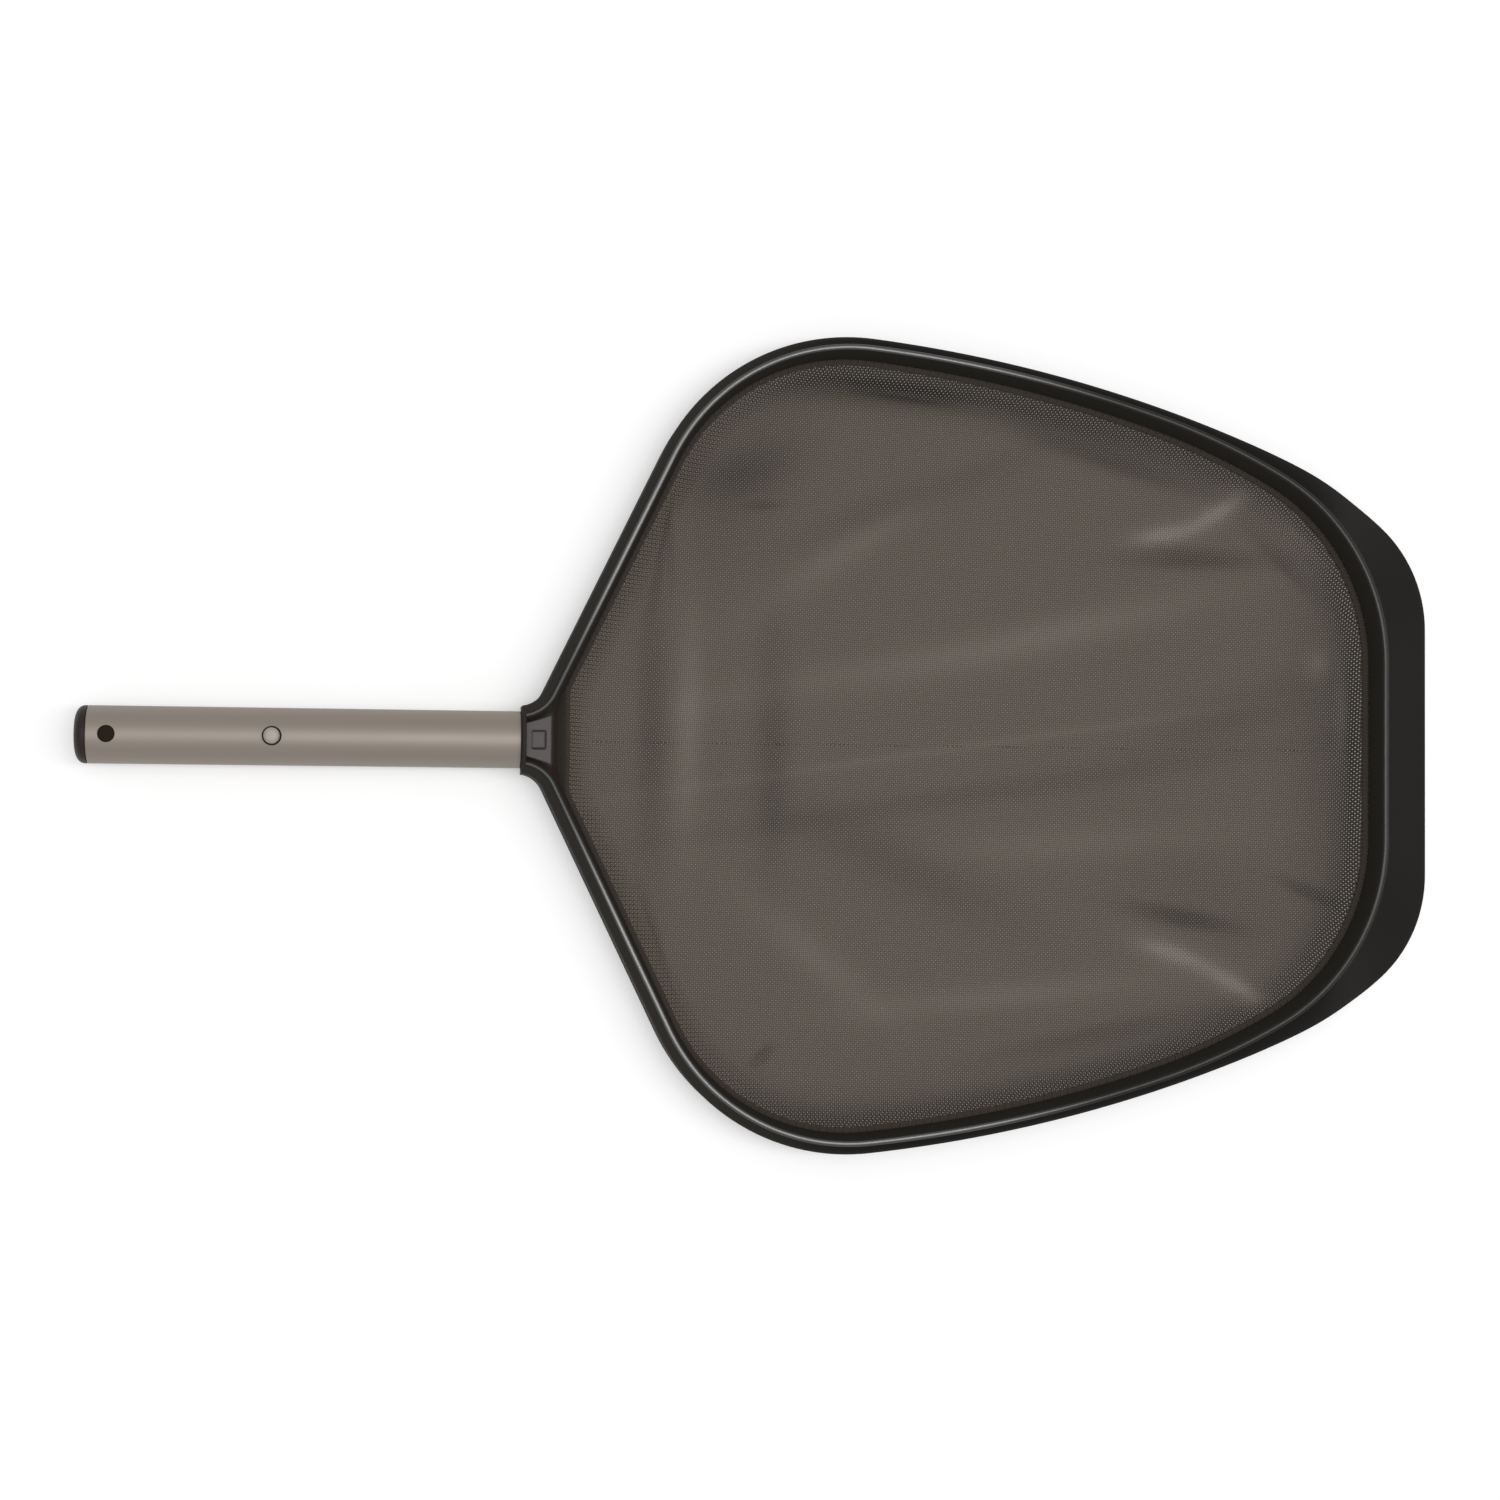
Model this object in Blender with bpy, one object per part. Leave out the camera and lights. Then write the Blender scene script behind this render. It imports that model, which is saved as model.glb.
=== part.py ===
"""Leaf skimmer net for a swimming pool, built as the assembly it is.

A moulded hoop with a scoop lip carries a shallow mesh tray. A clamp ring, screwed on from below,
holds the hem of the mesh and its cord. A short aluminium tube slides over the spigot of the hoop
and takes a snap spring with two buttons, which lock it into a telescopic pole.

Axes: +X from the handle to the lip, +Z up out of the mouth, the floor at z = 0. Metres.
"""

import math

import bmesh
import bpy
import numpy as np
from mathutils import Matrix, Vector

MM = 0.001
GAP = 0.3 * MM

# ---- plan of the hoop: half outlines from the middle of the front, as (radius, heading at its end)
CREST_FRONT_X = 316.8 * MM
CREST_FLAT = 45.8 * MM
CREST_ARCS = ((110.5 * MM, 150.6), (351.0 * MM, 162.1), (707.0 * MM, 174.7), (102.9 * MM, 244.2))
EDGE_FRONT_X = 350.2 * MM
EDGE_FLAT = 66.8 * MM
EDGE_ARCS = ((72.4 * MM, 138.6), (170.0 * MM, 159.2), (938.0 * MM, 173.5), (108.2 * MM, 244.2))
HORN_CENTRE_X = -134.1 * MM  # the arms sweep round this line into the collar
HORN_EDGE_RADIUS = 13.5 * MM
HORN_CREST_RADIUS = 19.3 * MM
YOKE_CROSS_X = -114.4 * MM  # where the mouth closes, across the two arms
YOKE_CORNER_RADIUS = 14.0 * MM

# ---- section of the rim: n is measured outwards from the crest, z up from the floor
CREST_Z = 30.0 * MM
BEAD = 1.5 * MM
SIDE_WIDTH = 6.0 * MM
SHOULDER_Z = 24.0 * MM  # top of the upright outer wall at the sides and arms
LIP_EDGE_Z = 2.0 * MM  # the same edge where the wall has leaned out into the lip
LIP_FULL_WIDTH = 30.0 * MM
LIP_START_WIDTH = 8.0 * MM
WALL = 2.0 * MM
FOOT_N = -4.3 * MM
FOOT_Z = 15.0 * MM

# ---- clamp ring, net and cord under the foot
RING_TOP = 13.2 * MM
RING_BOTTOM = 10.4 * MM
RING_INNER_N = -5.9 * MM
RING_OUTER_N = 3.6 * MM
GROOVE_IN_N = -4.3 * MM
GROOVE_OUT_N = -2.3 * MM
GROOVE_Z = 11.3 * MM
CORD_N = -3.3 * MM
CORD_Z = 12.35 * MM
CORD_RADIUS = 0.75 * MM
HEM_OUTER_N = -2.1 * MM
HEM_TOP = 14.7 * MM
HEM_BOTTOM = 13.5 * MM
BAG_CENTRE = (100.0 * MM, 0.0)
BAG_THICK = 1.1 * MM
BAG_FALL = ((2.5 * MM, 11.0 * MM), (6 * MM, 8.3 * MM), (11 * MM, 6.5 * MM), (19 * MM, 5.6 * MM),
            (38 * MM, 5.0 * MM), (75 * MM, 4.5 * MM))  # distance in from the ring, z of the top
GRID_PITCH = 33.0 * MM  # a plain grid of square openings stands for the fine mesh
GRID_OPENING = 20.0 * MM
GRID_MARGIN = 12.0 * MM  # least distance from an opening's corner to the foot of the rim

# ---- ring screws
SCREW_N = 0.9 * MM
SCREW_AT = (45 * MM, 165 * MM, 285 * MM, 405 * MM, 525 * MM)  # along each half, from the front
YOKE_SCREW_Y = 9.0 * MM
BOSS_RADIUS = 2.6 * MM
BOSS_BOTTOM = RING_TOP + 0.4 * MM
BOSS_TOP = 25.0 * MM
PILOT_RADIUS = 1.55 * MM
PILOT_TOP = 21.5 * MM
YOKE_PILOT_TOP = 18.5 * MM
SHANK_RADIUS = 1.25 * MM
HEAD_RADIUS = 2.9 * MM
HEAD_HEIGHT = 2.0 * MM
RIB_AT = (0.0, 22 * MM, 68 * MM, 91 * MM, 114 * MM, 137 * MM)
RIB_THICK = 1.8 * MM
RIB_BOTTOM = 7.0 * MM

# ---- yoke and collar
PLATE_Z = 24.0 * MM
PLATE_FRONT_X = -117.6 * MM
DROP_FOOT_X = -110.1 * MM
COLLAR_MOUTH_X = -133.0 * MM
COLLAR_THICK = 2.2 * MM
COLLAR_RADIUS = 17.0 * MM
SPIGOT_LENGTH = 50.0 * MM
SPIGOT_RADIUS = 12.4 * MM
FLUTE_DEPTH = 3.0 * MM
RECESS = (7.0 * MM, 9.0 * MM, 0.6 * MM)  # bare label recess in the plate: x, y, depth

# ---- handle tube and its fittings, all about one axis
TUBE_Z = 19.5 * MM
TUBE_RADIUS = 14.3 * MM
TUBE_BORE = 12.8 * MM
PLUG_END_X = -350.2 * MM
PLUG_CAP = 6.0 * MM
PLUG_FACE_RADIUS = 8.0 * MM
SLEEVE_LENGTH = 27.0 * MM
SLEEVE_WALL = 1.8 * MM
LATCH_X = -334.2 * MM  # the cross hole that the plug's two bosses click into
LATCH_HOLE = 4.2 * MM
LATCH_BOSS = 3.9 * MM
LATCH_TOP = 13.4 * MM  # flat end of a boss, from the tube's axis
BUTTON_X = -255.1 * MM
BUTTON_HOLE = 4.8 * MM
BUTTON_RADIUS = 3.9 * MM
BUTTON_PROUD = 4.6 * MM
FLANGE_RADIUS = 5.8 * MM
FLANGE_TOP = 11.1 * MM
FLANGE_THICK = 1.0 * MM
LEG_OFFSET = 9.35 * MM
SPRING_THICK = 0.9 * MM
SPRING_WIDTH = 9.0 * MM
BEND_X = -208.0 * MM
BEND_RADIUS = 3.2 * MM
RIVET_RADIUS = 1.5 * MM
HANDLE_SCREW_X = (-148.0 * MM, -170.0 * MM)


# ---------------------------------------------------------------- helpers
def clear_scene():
    for obj in list(bpy.data.objects):
        bpy.data.objects.remove(obj, do_unlink=True)


def material(name, colour, roughness, metallic=0.0):
    mat = bpy.data.materials.new(name)
    mat.use_nodes = True
    shader = mat.node_tree.nodes["Principled BSDF"]
    shader.inputs["Base Color"].default_value = (*colour, 1.0)
    shader.inputs["Roughness"].default_value = roughness
    shader.inputs["Metallic"].default_value = metallic
    return mat


def new_object(name, mesh, mat=None):
    obj = bpy.data.objects.new(name, mesh)
    bpy.context.scene.collection.objects.link(obj)
    if mat is not None:
        mesh.materials.clear()
        mesh.materials.append(mat)
    return obj


def object_from_bmesh(name, bm, mat=None, smooth=35.0):
    bmesh.ops.recalc_face_normals(bm, faces=bm.faces)
    mesh = bpy.data.meshes.new(name)
    bm.to_mesh(mesh)
    bm.free()
    mesh.shade_smooth()
    mesh.set_sharp_from_angle(angle=math.radians(smooth))
    return new_object(name, mesh, mat)


def loft(name, rings, closed=False, mat=None):
    """Skins rings of points, all of one count. Open lofts get a cap at each end."""
    bm = bmesh.new()
    rows = [[bm.verts.new(p) for p in ring] for ring in rings]
    pairs = list(zip(rows, rows[1:]))
    if closed:
        pairs.append((rows[-1], rows[0]))
    for a, b in pairs:
        for k in range(len(a)):
            m = (k + 1) % len(a)
            bm.faces.new((a[k], a[m], b[m], b[k]))
    if not closed:
        bm.faces.new(rows[0])
        bm.faces.new(rows[-1])
    return object_from_bmesh(name, bm, mat)


def prism(name, outline, direction, mat=None):
    """Extrudes a closed outline of 3-D points along a vector."""
    return loft(name, [outline, [p + direction for p in outline]], mat=mat)


def turned(name, profile, origin, axis, segments=32, mat=None):
    """Spins a profile of (radius, distance along the axis) points; radius 0 closes an end."""
    turn = Vector((0, 0, 1)).rotation_difference(Vector(axis)).to_matrix().to_4x4()
    place = Matrix.Translation(Vector(origin)) @ turn
    bm = bmesh.new()
    rows = []
    for radius, along in profile:
        if radius == 0.0:
            rows.append([bm.verts.new(place @ Vector((0, 0, along)))])
            continue
        angles = [2 * math.pi * (k + 0.5) / segments for k in range(segments)]
        ring = [Vector((radius * math.cos(a), radius * math.sin(a), along)) for a in angles]
        rows.append([bm.verts.new(place @ p) for p in ring])
    last = len(rows) if len(rows[0]) > 1 else len(rows) - 1
    for i in range(last):
        a, b = rows[i], rows[(i + 1) % len(rows)]
        for k in range(segments):
            m = (k + 1) % segments
            corners = [a[k % len(a)], a[m % len(a)], b[m % len(b)], b[k % len(b)]]
            bm.faces.new(list(dict.fromkeys(corners)))
    return object_from_bmesh(name, bm, mat)


def rod(name, radius, start, end, segments=20, mat=None):
    start, end = Vector(start), Vector(end)
    length = (end - start).length
    profile = [(0.0, 0.0), (radius, 0.0), (radius, length), (0.0, length)]
    return turned(name, profile, start, end - start, segments, mat)


def weld(mesh, distance=0.002 * MM):
    """Joins the twin points that an exact Boolean can leave on a seam."""
    bm = bmesh.new()
    bm.from_mesh(mesh)
    bmesh.ops.remove_doubles(bm, verts=bm.verts, dist=distance)
    bmesh.ops.dissolve_degenerate(bm, edges=bm.edges, dist=distance)
    bm.to_mesh(mesh)
    bm.free()


def combine(target, others, operation):
    """Applies one exact Boolean per tool and removes the tools."""
    for other in others:
        change = target.modifiers.new("combine", "BOOLEAN")
        change.operation = operation
        change.solver = "EXACT"
        change.object = other
        view = bpy.context.evaluated_depsgraph_get()
        mesh = bpy.data.meshes.new_from_object(target.evaluated_get(view))
        target.modifiers.clear()
        target.data = mesh
        bpy.data.objects.remove(other, do_unlink=True)
        weld(mesh)
    target.data.shade_smooth()
    target.data.set_sharp_from_angle(angle=math.radians(35))
    return target


def cut(target, *tools):
    return combine(target, tools, "DIFFERENCE")


def fuse(target, *tools):
    return combine(target, tools, "UNION")


# ---------------------------------------------------------------- outlines
def trace(x, flat, moves, straight_to=None):
    """Walks the upper half of an outline from the front, and returns points and outward normals.

    A move is (radius, heading at its end) or (length,) for a straight; headings are in degrees.
    """
    place, heading = Vector((x, 0.0)), 90.0
    points, normals = [], []

    def put():
        turn = math.radians(heading)
        points.append(place.copy())
        normals.append(Vector((math.sin(turn), -math.cos(turn))))

    put()
    for move in ((flat,), *moves):
        if len(move) == 1:
            steps = max(1, round(move[0] / (40 * MM)))
            along = Vector((math.cos(math.radians(heading)), math.sin(math.radians(heading))))
            for _ in range(steps):
                place = place + along * (move[0] / steps)
                put()
            continue
        radius, end = move
        side = 1 if end > heading else -1
        sweep = math.radians(abs(end - heading))
        steps = max(1, math.ceil(math.degrees(sweep) / 7.0), math.ceil(radius * sweep / (30 * MM)))
        turn = math.radians(heading)
        centre = place + side * radius * Vector((-math.sin(turn), math.cos(turn)))
        start = heading
        for k in range(1, steps + 1):
            heading = start + (end - start) * k / steps
            turn = math.radians(heading)
            place = centre - side * radius * Vector((-math.sin(turn), math.cos(turn)))
            put()
    return points, normals


def arm_to_horn(x, flat, arcs, radius, end_x=COLLAR_MOUTH_X + COLLAR_THICK / 2):
    """Moves that run the arm straight on and round the horn into the collar."""
    place = trace(x, flat, arcs)[0][-1]
    turn = math.radians(arcs[-1][1])
    length = (HORN_CENTRE_X - radius * math.sin(turn) - place.x) / math.cos(turn)
    last = math.degrees(math.asin((end_x - HORN_CENTRE_X) / radius))
    return (*arcs, (length,), (radius, 180 + last))


def arm_to_cross(x, flat, arcs):
    """Moves that end the arm in a round corner and close the mouth across the yoke."""
    place = trace(x, flat, arcs)[0][-1]
    turn = math.radians(arcs[-1][1])
    corner = YOKE_CORNER_RADIUS
    length = (YOKE_CROSS_X + corner * (1 + math.sin(turn)) - place.x) / math.cos(turn)
    moves = (*arcs, (length,), (corner, 270.0))
    end = trace(x, flat, moves)[0][-1]
    return (*moves, (end.y,))


def both_halves(points, normals, closed):
    flip = Vector((1, -1))
    lower = [(p * flip, n * flip) for p, n in zip(points, normals)][::-1]
    upper = list(zip(points, normals))
    pairs = lower[:-1] + upper
    if closed:
        pairs = pairs[1:]
    return [p for p, _ in pairs], [n for _, n in pairs]


def reach(point, normal, outline):
    """Distance from a point along a normal to an outline of points."""
    best = math.inf
    for a, b in zip(outline, outline[1:]):
        side = b - a
        det = normal.x * -side.y + side.x * normal.y
        if abs(det) < 1e-12:
            continue
        gap = a - point
        out = (gap.x * -side.y + side.x * gap.y) / det
        share = (normal.x * gap.y - normal.y * gap.x) / det
        if -1e-6 <= share <= 1 + 1e-6 and 0 < out < best:
            best = out
    return best


def at_distance(points, normals, distance):
    """Point, outward normal and tangent at a distance along a half outline."""
    for a, b, m, n in zip(points, points[1:], normals, normals[1:]):
        length = (b - a).length
        if distance <= length:
            share = distance / length
            return a.lerp(b, share), m.lerp(n, share).normalized()
        distance -= length
    raise ValueError("past the end of the outline")


def ramp(low, high, value):
    share = min(max((value - low) / (high - low), 0.0), 1.0)
    return share * share * (3 - 2 * share)


def crossing(a, b, c, d):
    """Where the line a-b meets the line c-d."""
    u, v, w = b - a, d - c, c - a
    share = (w.x * v.y - w.y * v.x) / (u.x * v.y - u.y * v.x)
    return a + u * share


# ---------------------------------------------------------------- the hoop
def rim_section(width):
    """The rim's closed section as (n, z) points, for one distance from crest to outer edge.

    Returns the section, the underside of the outer wall and the apex of the hollow.
    """
    lean = ramp(LIP_START_WIDTH, LIP_FULL_WIDTH, width)
    edge_z = SHOULDER_Z + (LIP_EDGE_Z - SHOULDER_Z) * lean
    centre = Vector((0.0, CREST_Z - BEAD))
    edge, foot = Vector((width, edge_z)), Vector((FOOT_N, FOOT_Z + 1.0 * MM))
    outer_top = centre + BEAD * Vector((math.cos(math.radians(30)), math.sin(math.radians(30))))
    inner_top = centre + BEAD * Vector((math.cos(math.radians(165)), math.sin(math.radians(165))))
    down, back = (edge - outer_top).normalized(), (foot - inner_top).normalized()
    bulge = 0.8 * MM * (1 - lean)
    flank = outer_top.lerp(edge, 0.55) + bulge * Vector((-down.y, down.x))
    beads = [centre + BEAD * Vector((math.cos(math.radians(a)), math.sin(math.radians(a))))
             for a in (30, 62, 90, 118, 142, 165)]
    out_in = WALL * Vector((down.y, -down.x))
    in_out = WALL * Vector((-back.y, back.x))
    apex = crossing(outer_top + out_in, edge + out_in, inner_top + in_out, foot + in_out)
    base = width - WALL / max(-down.y, 0.64) if lean > 0.5 else width - WALL
    under = Vector((base, max(edge_z - 1.4 * MM, 0.4 * MM)))
    section = [Vector((width, 0.0)), edge, flank, *beads, foot, Vector((FOOT_N + 0.3 * MM, FOOT_Z)),
               Vector((FOOT_N + WALL, FOOT_Z)), apex, under, Vector((base, 0.0))]
    return section, under, apex


def place_section(point, normal, section):
    return [Vector((point.x + normal.x * s.x, point.y + normal.y * s.x, s.y)) for s in section]


def crest_half(moves):
    return trace(CREST_FRONT_X, CREST_FLAT, moves)


def edge_outline():
    moves = arm_to_horn(EDGE_FRONT_X, EDGE_FLAT, EDGE_ARCS, HORN_EDGE_RADIUS, HORN_CENTRE_X)
    points = trace(EDGE_FRONT_X, EDGE_FLAT, moves)[0]
    return both_halves(points, points, False)[0]


def mouth_half():
    return crest_half(arm_to_cross(CREST_FRONT_X, CREST_FLAT, CREST_ARCS))


def mouth_loop():
    return both_halves(*mouth_half(), True)


def screw_places():
    """Where the ring screws stand, as (x, y, top of the pilot hole)."""
    points, normals = mouth_half()
    places = []
    for distance in SCREW_AT:
        p, n = at_distance(points, normals, distance)
        p = p + n * SCREW_N
        places += [(p.x, p.y, PILOT_TOP), (p.x, -p.y, PILOT_TOP)]
    x = YOKE_CROSS_X - SCREW_N
    return places + [(x, YOKE_SCREW_Y, YOKE_PILOT_TOP), (x, -YOKE_SCREW_Y, YOKE_PILOT_TOP)]


def lip_rib(name, point, normal, width):
    _, under, apex = rim_section(width)
    low = under.lerp(apex, (RIB_BOTTOM - under.y) / (apex.y - under.y))
    ledge, hidden = RING_TOP + 0.9 * MM, FOOT_N + WALL
    outline = [Vector((RING_OUTER_N + 0.7 * MM, RIB_BOTTOM)), Vector((low.x + 0.7 * MM, RIB_BOTTOM)),
               apex + Vector((0.0, 0.5 * MM)), Vector((hidden - 0.4 * MM, FOOT_Z + 1.5 * MM)),
               Vector((hidden + 0.8 * MM, ledge)), Vector((RING_OUTER_N + 0.7 * MM, ledge))]
    tangent = Vector((-normal.y, normal.x, 0.0))
    corners = [p - tangent * (RIB_THICK / 2) for p in place_section(point, normal, outline)]
    return prism(name, corners, tangent * RIB_THICK)


def yoke_body(points, normals, widths):
    """The web between the horns: a plate with its slopes and drop, and a block down to the floor."""
    crest = sorted((p.x, p.y) for p in points if p.x < 0.0)
    walls = [p + n * (w - WALL / 2) for p, n, w in zip(points, normals, widths)]
    wall = sorted((p.x, p.y) for p in walls if p.x < 0.0)

    def crest_y(x):
        return float(np.interp(x, [p[0] for p in crest], [p[1] for p in crest]))

    def wall_y(x):
        return float(np.interp(x, [p[0] for p in wall], [p[1] for p in wall]))

    def slab(x, side_y, side_z, plate_y, plate_z, bottom):
        half = [(plate_y, plate_z), (side_y, side_z), (side_y, bottom)]
        return [Vector((x, y, z)) for y, z in half] + [Vector((x, -y, z)) for y, z in half[::-1]]

    back = COLLAR_MOUTH_X + 0.6 * MM
    wall_z, tuck = CREST_Z - 2.2 * MM, 0.6 * MM
    upper, lower = [], []
    for x in np.linspace(back, PLATE_FRONT_X, 5):
        plate_y = float(np.interp(x, [back, PLATE_FRONT_X], [7.4 * MM, 11.8 * MM]))
        upper.append(slab(x, crest_y(x) - tuck, wall_z, plate_y, PLATE_Z, FOOT_Z))
    foot_y = crest_y(DROP_FOOT_X) + FOOT_N / math.cos(math.radians(CREST_ARCS[-1][1] - 180))
    upper.append(slab(DROP_FOOT_X, foot_y + tuck, FOOT_Z + 2.5 * MM, foot_y - 4 * MM,
                      FOOT_Z + 0.8 * MM, FOOT_Z))
    for x in np.linspace(back + 1.0 * MM, YOKE_CROSS_X - RING_OUTER_N - 1.2 * MM, 5):
        top = FOOT_Z + 2.0 * MM
        lower.append(slab(x, wall_y(x), top, wall_y(x) / 2, top, 0.4 * MM))
    return loft("yoke_plate", upper), loft("yoke_block", lower)


def spigot():
    count = 48
    ring = []
    for k in range(count):
        angle = 2 * math.pi * (k + 0.5) / count
        flute = 0.5 - 0.5 * math.cos(4 * angle)
        radius = SPIGOT_RADIUS - FLUTE_DEPTH * max(0.0, 2 * flute - 1)
        ring.append((radius * math.cos(angle), radius * math.sin(angle)))
    start, end = COLLAR_MOUTH_X + 0.5 * MM, COLLAR_MOUTH_X - SPIGOT_LENGTH
    stations = ((start, 1.0), (end + 2 * MM, 1.0), (end, 0.9))
    rings = [[Vector((x, a * size, TUBE_Z + b * size)) for a, b in ring] for x, size in stations]
    return loft("spigot", rings)


def make_frame(mat):
    points, normals = crest_half(arm_to_horn(CREST_FRONT_X, CREST_FLAT, CREST_ARCS, HORN_CREST_RADIUS))
    edge = edge_outline()
    widths = [reach(p, n, edge) for p, n in zip(points, normals)]
    full_points, full_normals = both_halves(points, normals, False)
    full_widths = widths[::-1][:-1] + widths
    rings = [place_section(p, n, rim_section(w)[0])
             for p, n, w in zip(full_points, full_normals, full_widths)]
    frame = loft("frame", rings, mat=mat)

    collar = [(0.0, 0.0), (COLLAR_RADIUS - 0.5 * MM, 0.0), (COLLAR_RADIUS, 0.5 * MM),
              (COLLAR_RADIUS, COLLAR_THICK - 0.5 * MM), (COLLAR_RADIUS - 0.5 * MM, COLLAR_THICK),
              (0.0, COLLAR_THICK)]
    disc = turned("collar", collar, (COLLAR_MOUTH_X, 0, TUBE_Z), (1, 0, 0), 48)
    fuse(frame, *yoke_body(points, normals, widths), disc, spigot())

    bosses, ribs, drills = [], [], []
    for x, y, top in screw_places():
        high = BOSS_TOP if top == PILOT_TOP else YOKE_PILOT_TOP - 1 * MM
        bosses.append(rod("boss", BOSS_RADIUS, (x, y, BOSS_BOTTOM), (x, y, high), 16))
        drills.append(rod("pilot", PILOT_RADIUS, (x, y, BOSS_BOTTOM - 1 * MM), (x, y, top), 12))
    for distance in RIB_AT:
        p, n = at_distance(points, normals, distance)
        width = reach(p, n, edge)
        ribs.append(lip_rib("rib", p, n, width))
        if distance:
            flip = Vector((1, -1))
            ribs.append(lip_rib("rib", p * flip, n * flip, width))
    fuse(frame, *bosses, *ribs)

    for x in HANDLE_SCREW_X:
        drills.append(rod("pilot", 1.8 * MM, (x, 0, 0), (x, 0, TUBE_Z - 3 * MM), 12))
    long, wide, deep = RECESS
    middle = (COLLAR_MOUTH_X + COLLAR_THICK + PLATE_FRONT_X) / 2
    corners = [Vector((middle + i * long / 2, j * wide / 2, PLATE_Z - deep))
               for i, j in ((-1, -1), (1, -1), (1, 1), (-1, 1))]
    drills.append(prism("recess", corners, Vector((0, 0, 4 * MM))))
    return cut(frame, *drills)


# ---------------------------------------------------------------- ring, cord and net
def make_ring(mat):
    points, normals = mouth_loop()
    chamfer = 0.8 * MM
    section = [Vector(p) for p in (
        (RING_OUTER_N, RING_BOTTOM), (RING_OUTER_N, RING_TOP), (GROOVE_OUT_N, RING_TOP),
        (GROOVE_OUT_N, GROOVE_Z), (GROOVE_IN_N, GROOVE_Z), (GROOVE_IN_N, RING_TOP),
        (RING_INNER_N + chamfer, RING_TOP), (RING_INNER_N, RING_TOP - chamfer),
        (RING_INNER_N, RING_BOTTOM))]
    rings = [place_section(p, n, section) for p, n in zip(points, normals)]
    ring = loft("clamp_ring", rings, closed=True, mat=mat)
    holes = [rod("hole", PILOT_RADIUS, (x, y, 0), (x, y, RING_TOP + 1 * MM), 12)
             for x, y, _ in screw_places()]
    return cut(ring, *holes)


def make_cord(mat):
    points, normals = mouth_loop()
    section = [Vector((CORD_N + CORD_RADIUS * math.cos(a), CORD_Z + CORD_RADIUS * math.sin(a)))
               for a in (2 * math.pi * k / 6 for k in range(6))]
    rings = [place_section(p, n, section) for p, n in zip(points, normals)]
    return loft("net_cord", rings, closed=True, mat=mat)


def opening_places(points, normals):
    """Middles of the openings, on a square grid. The outline is convex, so a corner's distance
    inside it is the least of its distances to the outline's tangents."""
    places = []
    for i in range(-7, 8):
        for j in range(-6, 7):
            middle = Vector((BAG_CENTRE[0] + i * GRID_PITCH, BAG_CENTRE[1] + j * GRID_PITCH))
            corners = [middle + Vector((a, b)) * GRID_OPENING / 2 for a in (-1, 1) for b in (-1, 1)]
            inside = min((p + m * FOOT_N - c).dot(m) for c in corners for p, m in zip(points, normals))
            if inside >= GRID_MARGIN:
                places.append(middle)
    return places


def make_net(mat):
    """A shallow tray: a flat hem under the foot, a rounded fall and an open floor."""
    points, normals = mouth_loop()
    centre = Vector(BAG_CENTRE)

    def loop(n, inward, z):
        row = []
        for p, m in zip(points, normals):
            at = p + m * n
            at = at + (centre - at).normalized() * inward
            row.append(Vector((at.x, at.y, z)))
        return row

    over = RING_INNER_N - 1.3 * MM
    top = [loop(HEM_OUTER_N, 0, HEM_TOP), loop(RING_INNER_N, 0, HEM_TOP), loop(over, 0, 13.6 * MM)]
    top += [loop(over, d, z) for d, z in BAG_FALL]
    bottom = [loop(HEM_OUTER_N, 0, HEM_BOTTOM), loop(RING_INNER_N + 0.2 * MM, 0, HEM_BOTTOM),
              loop(RING_INNER_N - GAP, 0, HEM_BOTTOM - 0.5 * MM)]
    bottom += [loop(over, d, z - BAG_THICK) for d, z in BAG_FALL]
    bm = bmesh.new()
    rows = [[bm.verts.new(p) for p in row] for row in bottom[::-1] + top]
    for a, b in zip(rows, rows[1:]):
        for k in range(len(a)):
            m = (k + 1) % len(a)
            bm.faces.new((a[k], a[m], b[m], b[k]))
    bm.faces.new(rows[0])
    bm.faces.new(rows[-1])
    net = object_from_bmesh("net_bag", bm, mat)

    boxes = bmesh.new()
    size = Matrix.Diagonal((GRID_OPENING, GRID_OPENING, 24 * MM, 1.0))
    for place in opening_places(points, normals):
        bmesh.ops.create_cube(boxes, size=1.0, matrix=Matrix.Translation((*place, 4 * MM)) @ size)
    return cut(net, object_from_bmesh("openings", boxes))


def pan_screw(name, x, y, under_head, shank_top, shank_radius, mat):
    """A pan-head screw standing head down, with its point blunted."""
    base = under_head - HEAD_HEIGHT
    profile = [(0.0, 0.0), (HEAD_RADIUS * 0.72, 0.0), (HEAD_RADIUS, 0.9 * MM),
               (HEAD_RADIUS, HEAD_HEIGHT), (shank_radius, HEAD_HEIGHT),
               (shank_radius, shank_top - base - 1.2 * MM), (0.0, shank_top - base)]
    return turned(name, profile, (x, y, base), (0, 0, 1), 12, mat)


# ---------------------------------------------------------------- handle
def make_tube(mat):
    start, end = PLUG_END_X + PLUG_CAP, COLLAR_MOUTH_X - GAP
    length = end - start
    profile = [(TUBE_BORE, 0.0), (TUBE_RADIUS, 0.0), (TUBE_RADIUS, length), (TUBE_BORE, length)]
    tube = turned("handle_tube", profile, (start, 0, TUBE_Z), (1, 0, 0), 48, mat)
    low, high = TUBE_Z - 20 * MM, TUBE_Z + 20 * MM
    tools = [rod("latch", LATCH_HOLE, (LATCH_X, 0, low), (LATCH_X, 0, high), 28),
             rod("button", BUTTON_HOLE, (BUTTON_X, 0, low), (BUTTON_X, 0, high), 28)]
    for x in HANDLE_SCREW_X:
        tools.append(rod("screw", 1.9 * MM, (x, 0, low), (x, 0, TUBE_Z), 12))
    return cut(tube, *tools)


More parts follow.
